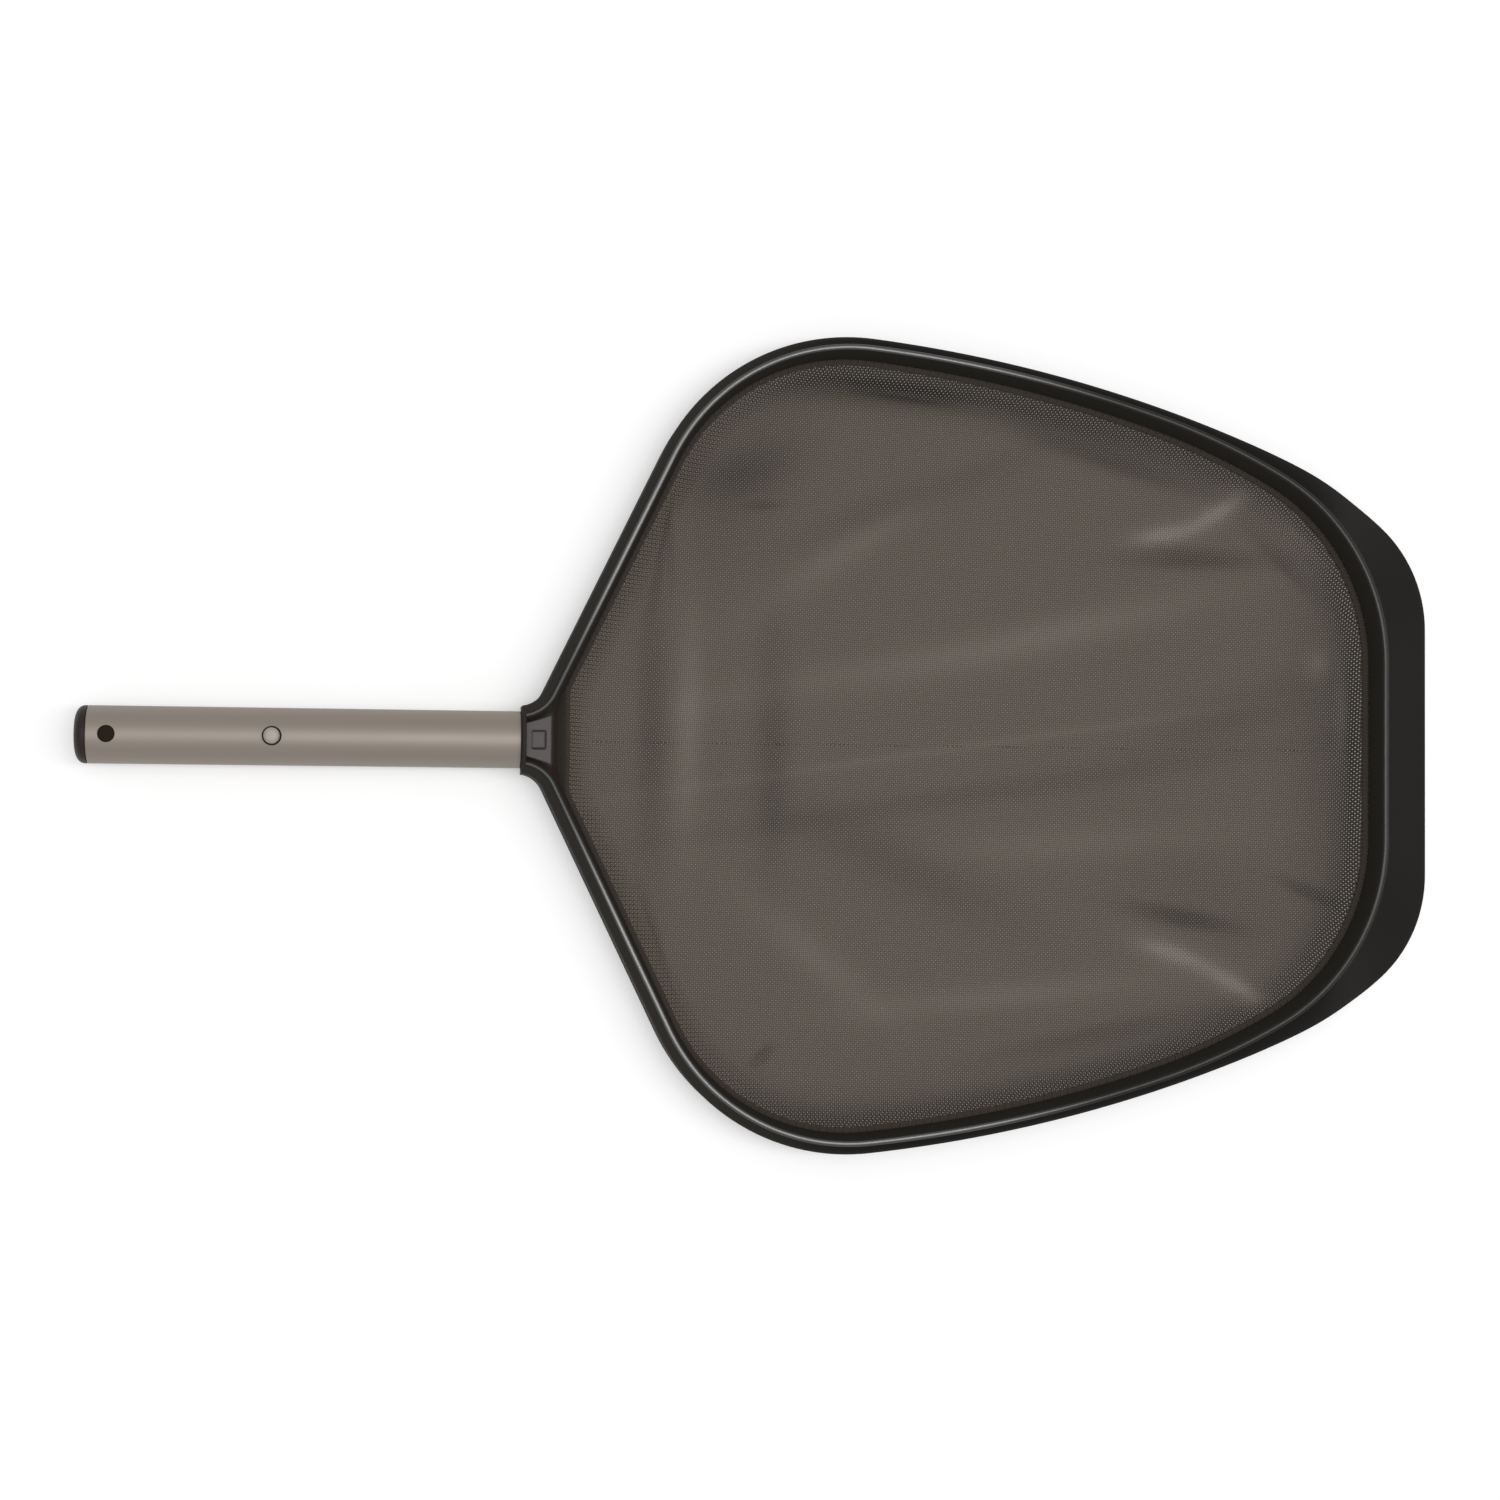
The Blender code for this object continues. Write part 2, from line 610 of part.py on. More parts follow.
def make_plug(mat):
    cap_radius, sleeve = TUBE_RADIUS, TUBE_BORE - 0.4 * MM
    cap = PLUG_CAP - GAP
    profile = [(0.0, 0.0), (PLUG_FACE_RADIUS, 0.0)]
    for k in range(1, 6):
        a = math.radians(90 * k / 6)
        rise = PLUG_FACE_RADIUS + (cap_radius - PLUG_FACE_RADIUS) * math.sin(a)
        profile.append((rise, 4.6 * MM * (1 - math.cos(a))))
    profile += [(cap_radius, 4.6 * MM), (cap_radius, cap), (sleeve, cap),
                (sleeve, cap + SLEEVE_LENGTH - 1 * MM), (sleeve - 0.6 * MM, cap + SLEEVE_LENGTH),
                (sleeve - SLEEVE_WALL, cap + SLEEVE_LENGTH), (sleeve - SLEEVE_WALL, cap),
                (0.0, cap - 1 * MM)]
    plug = turned("end_plug", profile, (PLUG_END_X, 0, TUBE_Z), (1, 0, 0), 48, mat)
    bosses = []
    for side in (1, -1):
        start, end = TUBE_Z + side * 11.0 * MM, TUBE_Z + side * LATCH_TOP
        bosses.append(rod("boss", LATCH_BOSS, (LATCH_X, 0, start), (LATCH_X, 0, end), 28))
    return fuse(plug, *bosses)


def make_button(name, side, mat):
    """A domed button, its retaining flange and the rivet that holds it to the spring's leg."""
    leg_top, leg_low = LEG_OFFSET + SPRING_THICK / 2, LEG_OFFSET - SPRING_THICK / 2
    top = TUBE_RADIUS + BUTTON_PROUD
    dome = 1.6 * MM
    profile = [(0.0, leg_low - GAP - 1 * MM), (2.2 * MM, leg_low - GAP - 0.9 * MM),
               (2.6 * MM, leg_low - GAP - 0.3 * MM), (2.6 * MM, leg_low - GAP),
               (RIVET_RADIUS, leg_low - GAP), (RIVET_RADIUS, leg_top + GAP),
               (FLANGE_RADIUS, leg_top + GAP), (FLANGE_RADIUS, FLANGE_TOP),
               (BUTTON_RADIUS, FLANGE_TOP), (BUTTON_RADIUS, top - dome)]
    for k in range(1, 4):
        a = math.radians(90 * k / 4)
        profile.append((BUTTON_RADIUS * math.cos(a) ** 0.6, top - dome + dome * math.sin(a)))
    profile.append((0.0, top))
    return turned(name, profile, (BUTTON_X, 0, TUBE_Z), (0, 0, side), 24, mat)


def make_spring(mat):
    """A strip bent into a V: two flat legs under the buttons that run together to one round bend."""
    far, near = BUTTON_X - 6.5 * MM, BUTTON_X + 8.0 * MM
    half = [Vector((far, LEG_OFFSET)), Vector((near, LEG_OFFSET))]
    for k in range(5):
        a = math.radians(90 - 90 * k / 4)
        half.append(Vector((BEND_X + BEND_RADIUS * math.cos(a), BEND_RADIUS * math.sin(a))))
    line = half + [Vector((p.x, -p.y)) for p in half[:-1][::-1]]
    inner, outer = [], []
    for k, p in enumerate(line):
        before, after = line[max(k - 1, 0)], line[min(k + 1, len(line) - 1)]
        a, b = (p - before), (after - p)
        a, b = (a if a.length else b).normalized(), (b if b.length else a).normalized()
        along = (a + b).normalized()
        side = Vector((-along.y, along.x)) * (SPRING_THICK / 2) / max(along.dot(a), 0.5)
        outer.append(p + side)
        inner.append(p - side)
    outline = [Vector((p.x, -SPRING_WIDTH / 2, TUBE_Z + p.y)) for p in outer + inner[::-1]]
    spring = prism("snap_spring", outline, Vector((0, SPRING_WIDTH, 0)), mat)
    hole = RIVET_RADIUS + 0.4 * MM
    low, high = TUBE_Z - 15 * MM, TUBE_Z + 15 * MM
    return cut(spring, rod("hole", hole, (BUTTON_X, 0, low), (BUTTON_X, 0, high), 16))


# ---------------------------------------------------------------- assembly
def main():
    clear_scene()
    black = material("black_moulded_plastic", (0.016, 0.015, 0.014), 0.38)
    mesh = material("grey_brown_mesh", (0.075, 0.062, 0.052), 0.8)
    cord = material("black_cord", (0.02, 0.018, 0.017), 0.75)
    anodised = material("taupe_anodised_aluminium", (0.30, 0.26, 0.22), 0.42, 0.6)
    steel = material("stainless_steel", (0.55, 0.54, 0.52), 0.3, 1.0)
    make_frame(black)
    make_ring(black)
    make_cord(cord)
    make_net(mesh)
    make_tube(anodised)
    make_plug(black)
    make_spring(steel)
    make_button("button_upper", 1, steel)
    make_button("button_lower", -1, steel)
    for k, (x, y, top) in enumerate(screw_places()):
        pan_screw(f"ring_screw_{k + 1:02d}", x, y, RING_BOTTOM - GAP, top - 0.8 * MM, SHANK_RADIUS, steel)
    for k, x in enumerate(HANDLE_SCREW_X):
        under_head = TUBE_Z - TUBE_RADIUS - GAP
        pan_screw(f"handle_screw_{k + 1}", x, 0.0, under_head, TUBE_Z - 4 * MM, 1.5 * MM, steel)


main()
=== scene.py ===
# %% [markdown]
# # A leaf skimmer net, dressed for its portrait
#
# A leaf skimmer is a flat hoop that carries a shallow tray of fine mesh and is pushed through a pool
# on a pole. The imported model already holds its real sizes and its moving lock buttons. This script
# gives each piece its finished surface: the moulded hoop, the woven tray, the handle and its
# fittings.
#
# Every length is in metres and `MM` is one millimetre. +X runs from the handle to the scoop lip, +Z
# points up out of the mouth, and the floor is at z = 0.

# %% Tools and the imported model
"""Looks of a leaf skimmer net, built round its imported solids."""

import math

import bmesh
import bpy
import numpy as np
from mathutils import Matrix, Vector


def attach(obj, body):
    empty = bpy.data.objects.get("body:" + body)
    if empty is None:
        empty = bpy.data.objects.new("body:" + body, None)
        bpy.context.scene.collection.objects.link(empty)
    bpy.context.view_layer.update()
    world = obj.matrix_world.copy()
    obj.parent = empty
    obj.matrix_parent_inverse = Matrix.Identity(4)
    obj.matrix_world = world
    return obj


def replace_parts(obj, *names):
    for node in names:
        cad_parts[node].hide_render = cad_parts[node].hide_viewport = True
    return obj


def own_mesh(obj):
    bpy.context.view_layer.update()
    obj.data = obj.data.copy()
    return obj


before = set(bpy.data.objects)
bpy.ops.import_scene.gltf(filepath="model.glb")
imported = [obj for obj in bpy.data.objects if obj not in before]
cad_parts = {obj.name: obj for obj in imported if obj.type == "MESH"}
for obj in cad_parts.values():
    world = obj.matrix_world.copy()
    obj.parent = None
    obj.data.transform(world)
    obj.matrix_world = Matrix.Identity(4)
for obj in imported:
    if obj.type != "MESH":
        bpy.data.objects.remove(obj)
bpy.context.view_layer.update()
MM = 0.001


# %% [markdown]
# ## Sizes
#
# The plan of the hoop is two outlines, the crest of the rim and its outer edge. Each starts in the
# middle of the front and runs round one half. It is written as that place's x, half the length of
# the straight front, and a chain of arcs as (radius, heading at the arc's end in degrees). The
# section of the rim is drawn with n, the distance outwards from the crest, and z, the height above
# the floor.

# %% Driving sizes
CREST = (316.8 * MM, 45.8 * MM, ((110.5 * MM, 150.6), (351.0 * MM, 162.1), (707.0 * MM, 174.7),
                                 (102.9 * MM, 244.2)))
EDGE = (350.2 * MM, 65.7 * MM, ((72.4 * MM, 153.1), (748.9 * MM, 174.4), (107.6 * MM, 244.2)))
CREST_HORN_RADIUS = 19.3 * MM
EDGE_HORN_RADIUS = 13.5 * MM
HORN_X = -134.1 * MM  # centre line of the horns' sweep into the collar
HORN_END_X = -131.9 * MM
CROSS_X = -114.4 * MM  # where the mouth closes across the arms
CREST_Z = 30.0 * MM
SHOULDER_Z = 24.0 * MM
WALL = 2.0 * MM
WEB = 1.8 * MM  # of the yoke and of the ribs
FOOT_N = -3.8 * MM  # inner foot of the rim, over the net's edge
FOOT_Z = 15.0 * MM
PLATE_Z = 24.0 * MM
PLATE_FRONT_X = -117.6 * MM
DROP_FOOT_X = -110.1 * MM
COLLAR_X = -133.0 * MM
COLLAR_RADIUS = 17.0 * MM
COLLAR_THICK = 2.2 * MM
TUBE_Z = 19.5 * MM
TUBE_RADIUS = 14.3 * MM
TUBE_BORE = 12.8 * MM
PLUG_X = -350.2 * MM
LATCH_X = -334.2 * MM  # the cross hole that shows the plug's boss
BUTTON_X = -255.1 * MM
HANDLE_SCREWS_X = (-148 * MM, -170 * MM)
PITCH = 1.5 * MM  # of the weave
THREAD = 1.16 * MM  # width of one flat thread

# %% [markdown]
# ## Finishes
#
# Colours are written as they look on screen, in hexadecimal, and turned into linear light:
# linear = ((c + 0.055) / 1.055) ^ 2.4 above the dark toe of the curve. One function makes a
# Principled finish, because every surface here is one solid substance with at most a fine grain.
# Two more let a piece's own attribute steer its colour, into which light and shade are painted here,
# or its clear coat. Where one moulding turns from matt to shiny, that leaves no hard border, as a
# second material would.


# %% Colour and shader nodes
def linear(code):
    """RGBA in linear light from a colour such as "#8a8a86"."""
    channels = [int(code[i:i + 2], 16) / 255 for i in (1, 3, 5)]
    curve = [c / 12.92 if c <= 0.04045 else ((c + 0.055) / 1.055) ** 2.4 for c in channels]
    return (*curve, 1.0)


def add_node(tree, kind, inputs=(), **settings):
    """Adds a shader node. Inputs are (name or number, value or output socket)."""
    node = tree.nodes.new(kind)
    for name, value in settings.items():
        setattr(node, name, value)
    for name, value in dict(inputs).items():
        socket = node.inputs[name]
        if isinstance(value, bpy.types.NodeSocket):
            tree.links.new(value, socket)
        else:
            socket.default_value = value
    return node


def finish_material(name, colour, roughness, metallic=0.0, gloss=0.5, grain=(), mottle=()):
    """A Principled finish. Grain is (size, strength, depth) of a bump, and mottle is (size, share)
    of a slow change of roughness. Both are noise whose scale is 1 / size, read from the piece's own
    coordinates."""
    mat = bpy.data.materials.new(name)
    mat.use_nodes = True
    tree = mat.node_tree
    shader = tree.nodes["Principled BSDF"]
    shader.inputs["Base Color"].default_value = linear(colour)
    shader.inputs["Roughness"].default_value = roughness
    shader.inputs["Metallic"].default_value = metallic
    shader.inputs["Specular IOR Level"].default_value = gloss
    mat.diffuse_color = linear(colour)
    if grain or mottle:
        place = add_node(tree, "ShaderNodeTexCoord").outputs["Object"]
    if grain:
        size, strength, depth = grain
        noise = add_node(tree, "ShaderNodeTexNoise", {"Vector": place, "Scale": 1 / size, "Detail": 3.0})
        bump = add_node(tree, "ShaderNodeBump", {"Height": noise.outputs["Fac"],
                                                 "Strength": strength, "Distance": depth})
        tree.links.new(bump.outputs["Normal"], shader.inputs["Normal"])
    if mottle:
        size, share = mottle
        slow = add_node(tree, "ShaderNodeTexNoise", {"Vector": place, "Scale": 1 / size})
        spread = add_node(tree, "ShaderNodeMapRange", {"Value": slow.outputs["Fac"],
                                                       "To Min": roughness * (1 - share),
                                                       "To Max": roughness * (1 + share)})
        tree.links.new(spread.outputs["Result"], shader.inputs["Roughness"])
    return mat


def colour_by_attribute(mat, attribute, stops):
    """Colours the base along (share, colour) stops by the piece's own vertex attribute."""
    tree = mat.node_tree
    mark = add_node(tree, "ShaderNodeAttribute", attribute_name=attribute)
    ramp = add_node(tree, "ShaderNodeValToRGB", {"Fac": mark.outputs["Fac"]})
    points = ramp.color_ramp.elements
    for share, colour in stops[1:-1]:
        points.new(share)
    for point, (share, colour) in zip(points, stops):
        point.position, point.color = share, linear(colour)
    tree.links.new(ramp.outputs["Color"], tree.nodes["Principled BSDF"].inputs["Base Color"])


def gloss_by_attribute(mat, attribute, coat_ior):
    """Adds a clear coat whose weight is the piece's own vertex attribute."""
    shader = mat.node_tree.nodes["Principled BSDF"]
    mark = add_node(mat.node_tree, "ShaderNodeAttribute", attribute_name=attribute)
    mat.node_tree.links.new(mark.outputs["Fac"], shader.inputs["Coat Weight"])
    shader.inputs["Coat IOR"].default_value = coat_ior
    shader.inputs["Coat Roughness"].default_value = shader.inputs["Roughness"].default_value


# %% [markdown]
# ### The moulded plastic
#
# The hoop and its clamp ring are black ABS, coloured right through, so there is no paint to chip or
# to shine. What changes from place to place is painted light: walls on which light falls are
# coloured greyer, and the satin plate of the yoke a browner black, as a painted warm reflection.

# %% Plastic finishes
ABS_GRAIN = 10 * MM / 9  # nine grains to a centimetre, because the real 0.1 mm is too fine to show
SATIN = (ABS_GRAIN, 0.08, 0.2 * MM)

# Satin ABS: it scatters what light it gets and stays near black, with hardly a reflection.
BLACK = finish_material("moulded_abs_satin", "#1c1a18", 0.60, gloss=0.04, grain=SATIN)

# The hoop's ABS with painted light: walls on which light falls are coloured greyer, up to
# #312e2a where its attribute is 1.
ABS_PAINTED_LIGHT = finish_material("moulded_abs_satin_painted_light", "#1c1a18", 0.60, gloss=0.04, grain=SATIN)
colour_by_attribute(ABS_PAINTED_LIGHT, "painted_shading", ((0.0, "#1c1a18"), (1.0, "#312e2a")))

# The top of the crest: it mirrors the lamps as one thin bright line, as rubbed ABS does. The shine
# is a clear coat, and the attribute shine says where.
POLISHED = finish_material("moulded_abs_rubbed_shiny", "#1b1917", 0.32, gloss=0.36)
gloss_by_attribute(POLISHED, "shine", 1.8)

# The yoke's plate: a satin that shows broad soft light, with a browner black that is a painted
# warm reflection.
PLATE = finish_material("moulded_abs_satin_painted_warm_reflection", "#251b16", 0.38, gloss=0.40,
                        grain=(ABS_GRAIN, 0.06, 0.2 * MM))
print("plastic:", [mat.name for mat in (BLACK, ABS_PAINTED_LIGHT, POLISHED, PLATE)])

# %% [markdown]
# ### Mesh, tape and thread
#
# The tray is woven polyester, and its edge is turned over a tape and whipped with thread. Threads
# that fine scatter light and have almost no gloss. What the eye reads as cloth is the change from
# the lit tops of the threads to their shaded sides, so that light and shade are painted into the
# mesh's colour, by a tone that its threads carry.

# %% Textile finishes
# Woven polyester with painted light: painted shade in dark brown between the threads, taupe on
# them, and a painted highlight in pale grey on a bright fold.
WEAVE = finish_material("woven_polyester_mesh", "#5a534c", 0.50, gloss=0.08)
colour_by_attribute(WEAVE, "painted_shading", ((0.0, "#211d1a"), (0.6, "#655c52"), (1.0, "#8b8681")))

# Polyester tape, folded flat: matt, and a dark band beside the rim.
HEM = finish_material("polyester_hem_tape", "#39332e", 0.80, gloss=0.15)

# Twisted polyester thread: a shade lighter than the tape and a little glossier, so that single
# stitches show.
STITCH = finish_material("polyester_stitch_thread", "#4a443e", 0.55, gloss=0.20)
print("textiles:", [mat.name for mat in (WEAVE, HEM, STITCH)])

# %% [markdown]
# ### The handle's finishes
#
# The tube is aluminium that was etched, anodised and dyed taupe. The dyed skin hides part of the
# metal, so it is made less metallic than bare aluminium and rough enough to blur what it mirrors.
# The small metal parts are stamped or turned, and the plug is a plastic moulding.

# %% Handle finishes
# Anodised aluminium: a soft band of light runs along the tube, broken up by a slow mottle.
TUBE = finish_material("anodised_aluminium_taupe", "#90877d", 0.50, metallic=0.35,
                       grain=(10 * MM / 7, 0.05, 0.1 * MM), mottle=(1000 * MM / 9, 0.10))

# Moulded plastic of the plug: browner than the hoop and more satin, so its round edge shows.
PLUG = finish_material("moulded_plastic_brown_black", "#2b2522", 0.48, gloss=0.20,
                       grain=(10 * MM / 8, 0.08, 0.2 * MM))

# The ends of the plug's bosses: flat, without a reflection, and painted near black as the shade
# in the cross hole.
BOSS = finish_material("plug_boss_painted_shade", "#271f17", 0.60, gloss=0.04)

# Stainless steel of the screws and the spring, barrel-polished: pale, with a blurred shine.
STEEL = finish_material("barrel_polished_stainless", "#b4aea4", 0.40, metallic=0.6)

# Satin nickel plate on the lock buttons: the dome shades off softly and has no sharp highlight.
DOME = finish_material("nickel_plate_satin", "#a49d94", 0.58, metallic=0.25)

# The buttons' steel flanges, painted dark as the shade in the gap: a dark ring round the pale
# dome.
FLANGE_SHADE = finish_material("steel_painted_shade", "#2e2a27", 0.60, metallic=0.3, gloss=0.3)
print("handle:", [mat.name for mat in (TUBE, PLUG, BOSS, STEEL, DOME, FLANGE_SHADE)])

# %% [markdown]
# ## Building surfaces
#
# A shape is a pair: an array of points and a list of faces. It is worked out with numpy and put into
# a mesh in one go, which is quicker than Blender's own primitives and keeps every size in sight.
# Shapes are joined into one mesh, so a moulding that is one piece in the hand is one object here.


# %% Shapes and objects
SHARP = 32.0  # degrees between faces, above which an edge is drawn sharp
ON_AXIS = 1e-7  # radius in metres that stands for a point on the axis


def grid_faces(rows, columns, close_rows=False, close_columns=False):
    """Quads of a rows x columns lattice of points, which may close on itself either way. The point
    in row r and column c has number r * columns + c."""
    r = np.arange(rows if close_rows else rows - 1)
    c = np.arange(columns if close_columns else columns - 1)
    r, c = np.meshgrid(r, c, indexing="ij")
    r1, c1 = (r + 1) % rows, (c + 1) % columns
    quads = np.stack([r * columns + c, r * columns + c1, r1 * columns + c1, r1 * columns + c], -1)
    return quads.reshape(-1, 4).tolist()


def skin(rings, closed=False):
    """A shape through rings of points. An open one is capped at both ends."""
    rings = np.asarray(rings, float)
    rows, columns = rings.shape[:2]
    faces = grid_faces(rows, columns, closed, True)
    if not closed:
        faces.append(list(range(columns))[::-1])
        faces.append(list(range((rows - 1) * columns, rows * columns)))
    return rings.reshape(-1, 3), faces


def join(*shapes):
    """One shape out of several."""
    points, faces, offset = [], [], 0
    for p, f in shapes:
        points.append(np.asarray(p, float))
        faces += [[i + offset for i in face] for face in f]
        offset += len(p)
    return np.concatenate(points), faces


def build(name, shape, mat, sharp=SHARP, outwards=True, marks=None, zones=()):
    """Makes the object, points its faces outwards and keeps edges sharper than `sharp` degrees.

    Marks are vertex attributes by name, one number for each point. Zones are further finishes of
    the same piece, as (material, face numbers)."""
    mesh = bpy.data.meshes.new(name)
    mesh.from_pydata(np.asarray(shape[0]).tolist(), [], shape[1])
    if outwards:
        bm = bmesh.new()
        bm.from_mesh(mesh)
        bmesh.ops.recalc_face_normals(bm, faces=bm.faces)
        bm.to_mesh(mesh)
        bm.free()
    for label, values in (marks or {}).items():
        mark = mesh.attributes.new(label, "FLOAT", "POINT")
        mark.data.foreach_set("value", np.asarray(values, np.float32))
    mesh.shade_smooth()
    mesh.set_sharp_from_angle(angle=math.radians(sharp))
    mesh.materials.append(mat)
    chosen = np.zeros(len(mesh.polygons), np.int32)
    for k, (finish, numbers) in enumerate(zones, 1):
        mesh.materials.append(finish)
        chosen[numbers] = k
    mesh.polygons.foreach_set("material_index", chosen)
    obj = bpy.data.objects.new(name, mesh)
    bpy.context.scene.collection.objects.link(obj)
    return obj


def turned(profile, origin, axis, segments=64):
    """A solid of revolution from (radius r, distance d along the axis) pairs: the points are
    (r cos a, r sin a, d), turned to the axis. A radius of 0 ends on the axis."""
    turn = Vector((0, 0, 1)).rotation_difference(Vector(axis)).to_matrix()
    angles = 2 * np.pi * (np.arange(segments) + 0.5) / segments
    rings = [np.stack([max(r, ON_AXIS) * np.cos(angles), max(r, ON_AXIS) * np.sin(angles),
                       np.full(segments, along)], -1) for r, along in profile]
    rings = np.asarray(rings) @ np.array(turn).T + np.asarray(origin, float)
    closed = profile[0][0] > 0.0 and profile[-1][0] > 0.0
    if closed:
        return rings.reshape(-1, 3), grid_faces(len(profile), segments, True, True)
    return skin(rings)


def eased(profile, radius, count=4):
    """Rounds the corners p of an open profile with parabolas from start to end on their sides:
    (1 - t)^2 start + 2 t (1 - t) p + t^2 end."""
    pts = [np.asarray(p, float) for p in profile]
    out = [pts[0]]
    for a, p, b in zip(pts, pts[1:], pts[2:]):
        back, on = a - p, b - p
        r = min(radius, 0.45 * np.linalg.norm(back), 0.45 * np.linalg.norm(on))
        start, end = p + back / np.linalg.norm(back) * r, p + on / np.linalg.norm(on) * r
        for t in np.linspace(0, 1, count):
            out.append((1 - t) ** 2 * start + 2 * t * (1 - t) * p + t ** 2 * end)
    out.append(pts[-1])
    return [tuple(p) for p in out]


def prism(outline, direction):
    """A solid between an outline of points and the same outline pushed along a vector."""
    outline = np.asarray(outline, float)
    return skin([outline, outline + np.asarray(direction, float)])


def carve(obj, *cutters):
    """Takes the cutters' volume out of obj with exact Booleans."""
    for cutter in cutters:
        change = obj.modifiers.new("carve", "BOOLEAN")
        change.operation, change.solver, change.object = "DIFFERENCE", "EXACT", cutter
        view = bpy.context.evaluated_depsgraph_get()
        mesh = bpy.data.meshes.new_from_object(obj.evaluated_get(view))
        obj.modifiers.clear()
        obj.data = mesh
        bpy.data.objects.remove(cutter, do_unlink=True)
    obj.data.shade_smooth()
    obj.data.set_sharp_from_angle(angle=math.radians(SHARP))
    return obj


def smoothstep(low, high, value):
    """0 up to low, 1 from high on, and s^2 (3 - 2 s) in between, s being the share of the way."""
    s = np.clip((value - low) / (high - low), 0.0, 1.0)
    return s * s * (3 - 2 * s)


def unit(v):
    """A vector of length 1 that points the same way: v / |v|."""
    return v / np.linalg.norm(v)


# %% [markdown]
# ## The plan of the hoop
#
# Walking an arc of radius R from heading h0 to h1 keeps its centre at a right angle to the path, so
# position = centre + R (sin h, -cos h) on a left turn, and the signs swap on a right turn. The
# outward normal is (sin h, -cos h) all the way.


# %% Outlines in plan
STEP = 3.5 * MM  # longest side of an outline
STEP_TURN = 2.5  # degrees, the most that it turns at a point


def walk(start_x, flat, arcs_and_lines):
    """Points and outward normals of half an outline. A move is (length,) or (radius, heading)."""
    place, heading = np.array([start_x, 0.0]), 90.0
    points, headings = [place], [heading]
    for move in ((flat,), *arcs_and_lines):
        if len(move) == 1:
            count = max(1, math.ceil(move[0] / STEP))
            along_path = np.array([math.cos(math.radians(heading)), math.sin(math.radians(heading))])
            for k in range(1, count + 1):
                points.append(place + along_path * move[0] * k / count)
                headings.append(heading)
            place = points[-1]
            continue
        radius, end = move
        side = 1 if end > heading else -1
        sweep = math.radians(abs(end - heading))
        count = max(2, math.ceil(radius * sweep / STEP), math.ceil(math.degrees(sweep) / STEP_TURN))
        turns = np.radians(np.linspace(heading, end, count + 1))
        spokes = side * radius * np.stack([np.sin(turns), -np.cos(turns)], -1)
        centre = place - spokes[0]
        points += list(centre + spokes[1:])
        headings += list(np.degrees(turns[1:]))
        place, heading = points[-1], end
    turns = np.radians(headings)
    return np.array(points), np.stack([np.sin(turns), -np.cos(turns)], -1)


def to_horn(outline, radius, end_x):
    """Half an outline whose arm runs straight on and sweeps round the horn to end_x. The straight
    ends where an arc of the horn's radius just reaches the horn's centre line."""
    x, flat, arcs = outline
    place = walk(x, flat, arcs)[0][-1]
    turn = math.radians(arcs[-1][1])
    length = (HORN_X - radius * math.sin(turn) - place[0]) / math.cos(turn)
    last = 180 + math.degrees(math.asin((end_x - HORN_X) / radius))
    return walk(x, flat, (*arcs, (length,), (radius, last)))


def to_cross(outline, corner=14.0 * MM):
    """Half an outline whose arm ends in a round corner and closes straight across the yoke."""
    x, flat, arcs = outline
    place = walk(x, flat, arcs)[0][-1]
    turn = math.radians(arcs[-1][1])
    length = (CROSS_X + corner * (1 + math.sin(turn)) - place[0]) / math.cos(turn)
    moves = (*arcs, (length,), (corner, 270.0))
    return walk(x, flat, (*moves, (walk(x, flat, moves)[0][-1][1],)))


def whole(points, normals, closed):
    """Both halves, from the lower end of the outline round the front to its upper end."""
    flip = np.array([1.0, -1.0])
    p = np.concatenate([points[::-1] * flip, points[1:]])
    n = np.concatenate([normals[::-1] * flip, normals[1:]])
    return (p[1:], n[1:]) if closed else (p, n)


def reach(points, normals, outline):
    """Distance from each point along its normal to an outline of points: the shortest of the ways
    out at which the normal's line crosses one of the outline's sides."""
    a, side = outline[:-1], outline[1:] - outline[:-1]
    gap = a[None] - points[:, None]
    nx, ny = normals[:, :1], normals[:, 1:]
    det = -nx * side[None, :, 1] + side[None, :, 0] * ny
    det = np.where(np.abs(det) < 1e-12, np.nan, det)  # a side that the normal runs along
    out = (-gap[..., 0] * side[None, :, 1] + side[None, :, 0] * gap[..., 1]) / det
    share = (nx * gap[..., 1] - ny * gap[..., 0]) / det
    good = (share >= -1e-6) & (share <= 1 + 1e-6) & (out > 0)
    return np.where(good, out, np.inf).min(1)


crest, crest_normals = to_horn(CREST, CREST_HORN_RADIUS, HORN_END_X)
edge_half, _ = to_horn(EDGE, EDGE_HORN_RADIUS, HORN_X)
edge_line = whole(edge_half, edge_half, False)[0]
widths = reach(crest, crest_normals, edge_line)
mouth_half, mouth_half_normals = to_cross(CREST)
mouth, mouth_normals = whole(mouth_half, mouth_half_normals, True)
print(f"rim width: {widths.min() / MM:.1f} mm on the arms, {widths.max() / MM:.1f} mm at the lip")

# %% [markdown]
# ## The rim
#
# The rim of the real hoop is one hollow moulding. On the arms and sides its outer wall stands
# upright. Towards the front it leans out, and its shoulder sinks from 24 mm to 2 mm, until it is the
# flat scoop lip. A bevelled curve keeps one section all the way, so the rim is a skin instead: its
# section is worked out anew at each point of the crest from the width w there. The lean is
# s^2 (3 - 2 s), with s running from 0 at w = 8 mm to 1 at w = 30 mm.

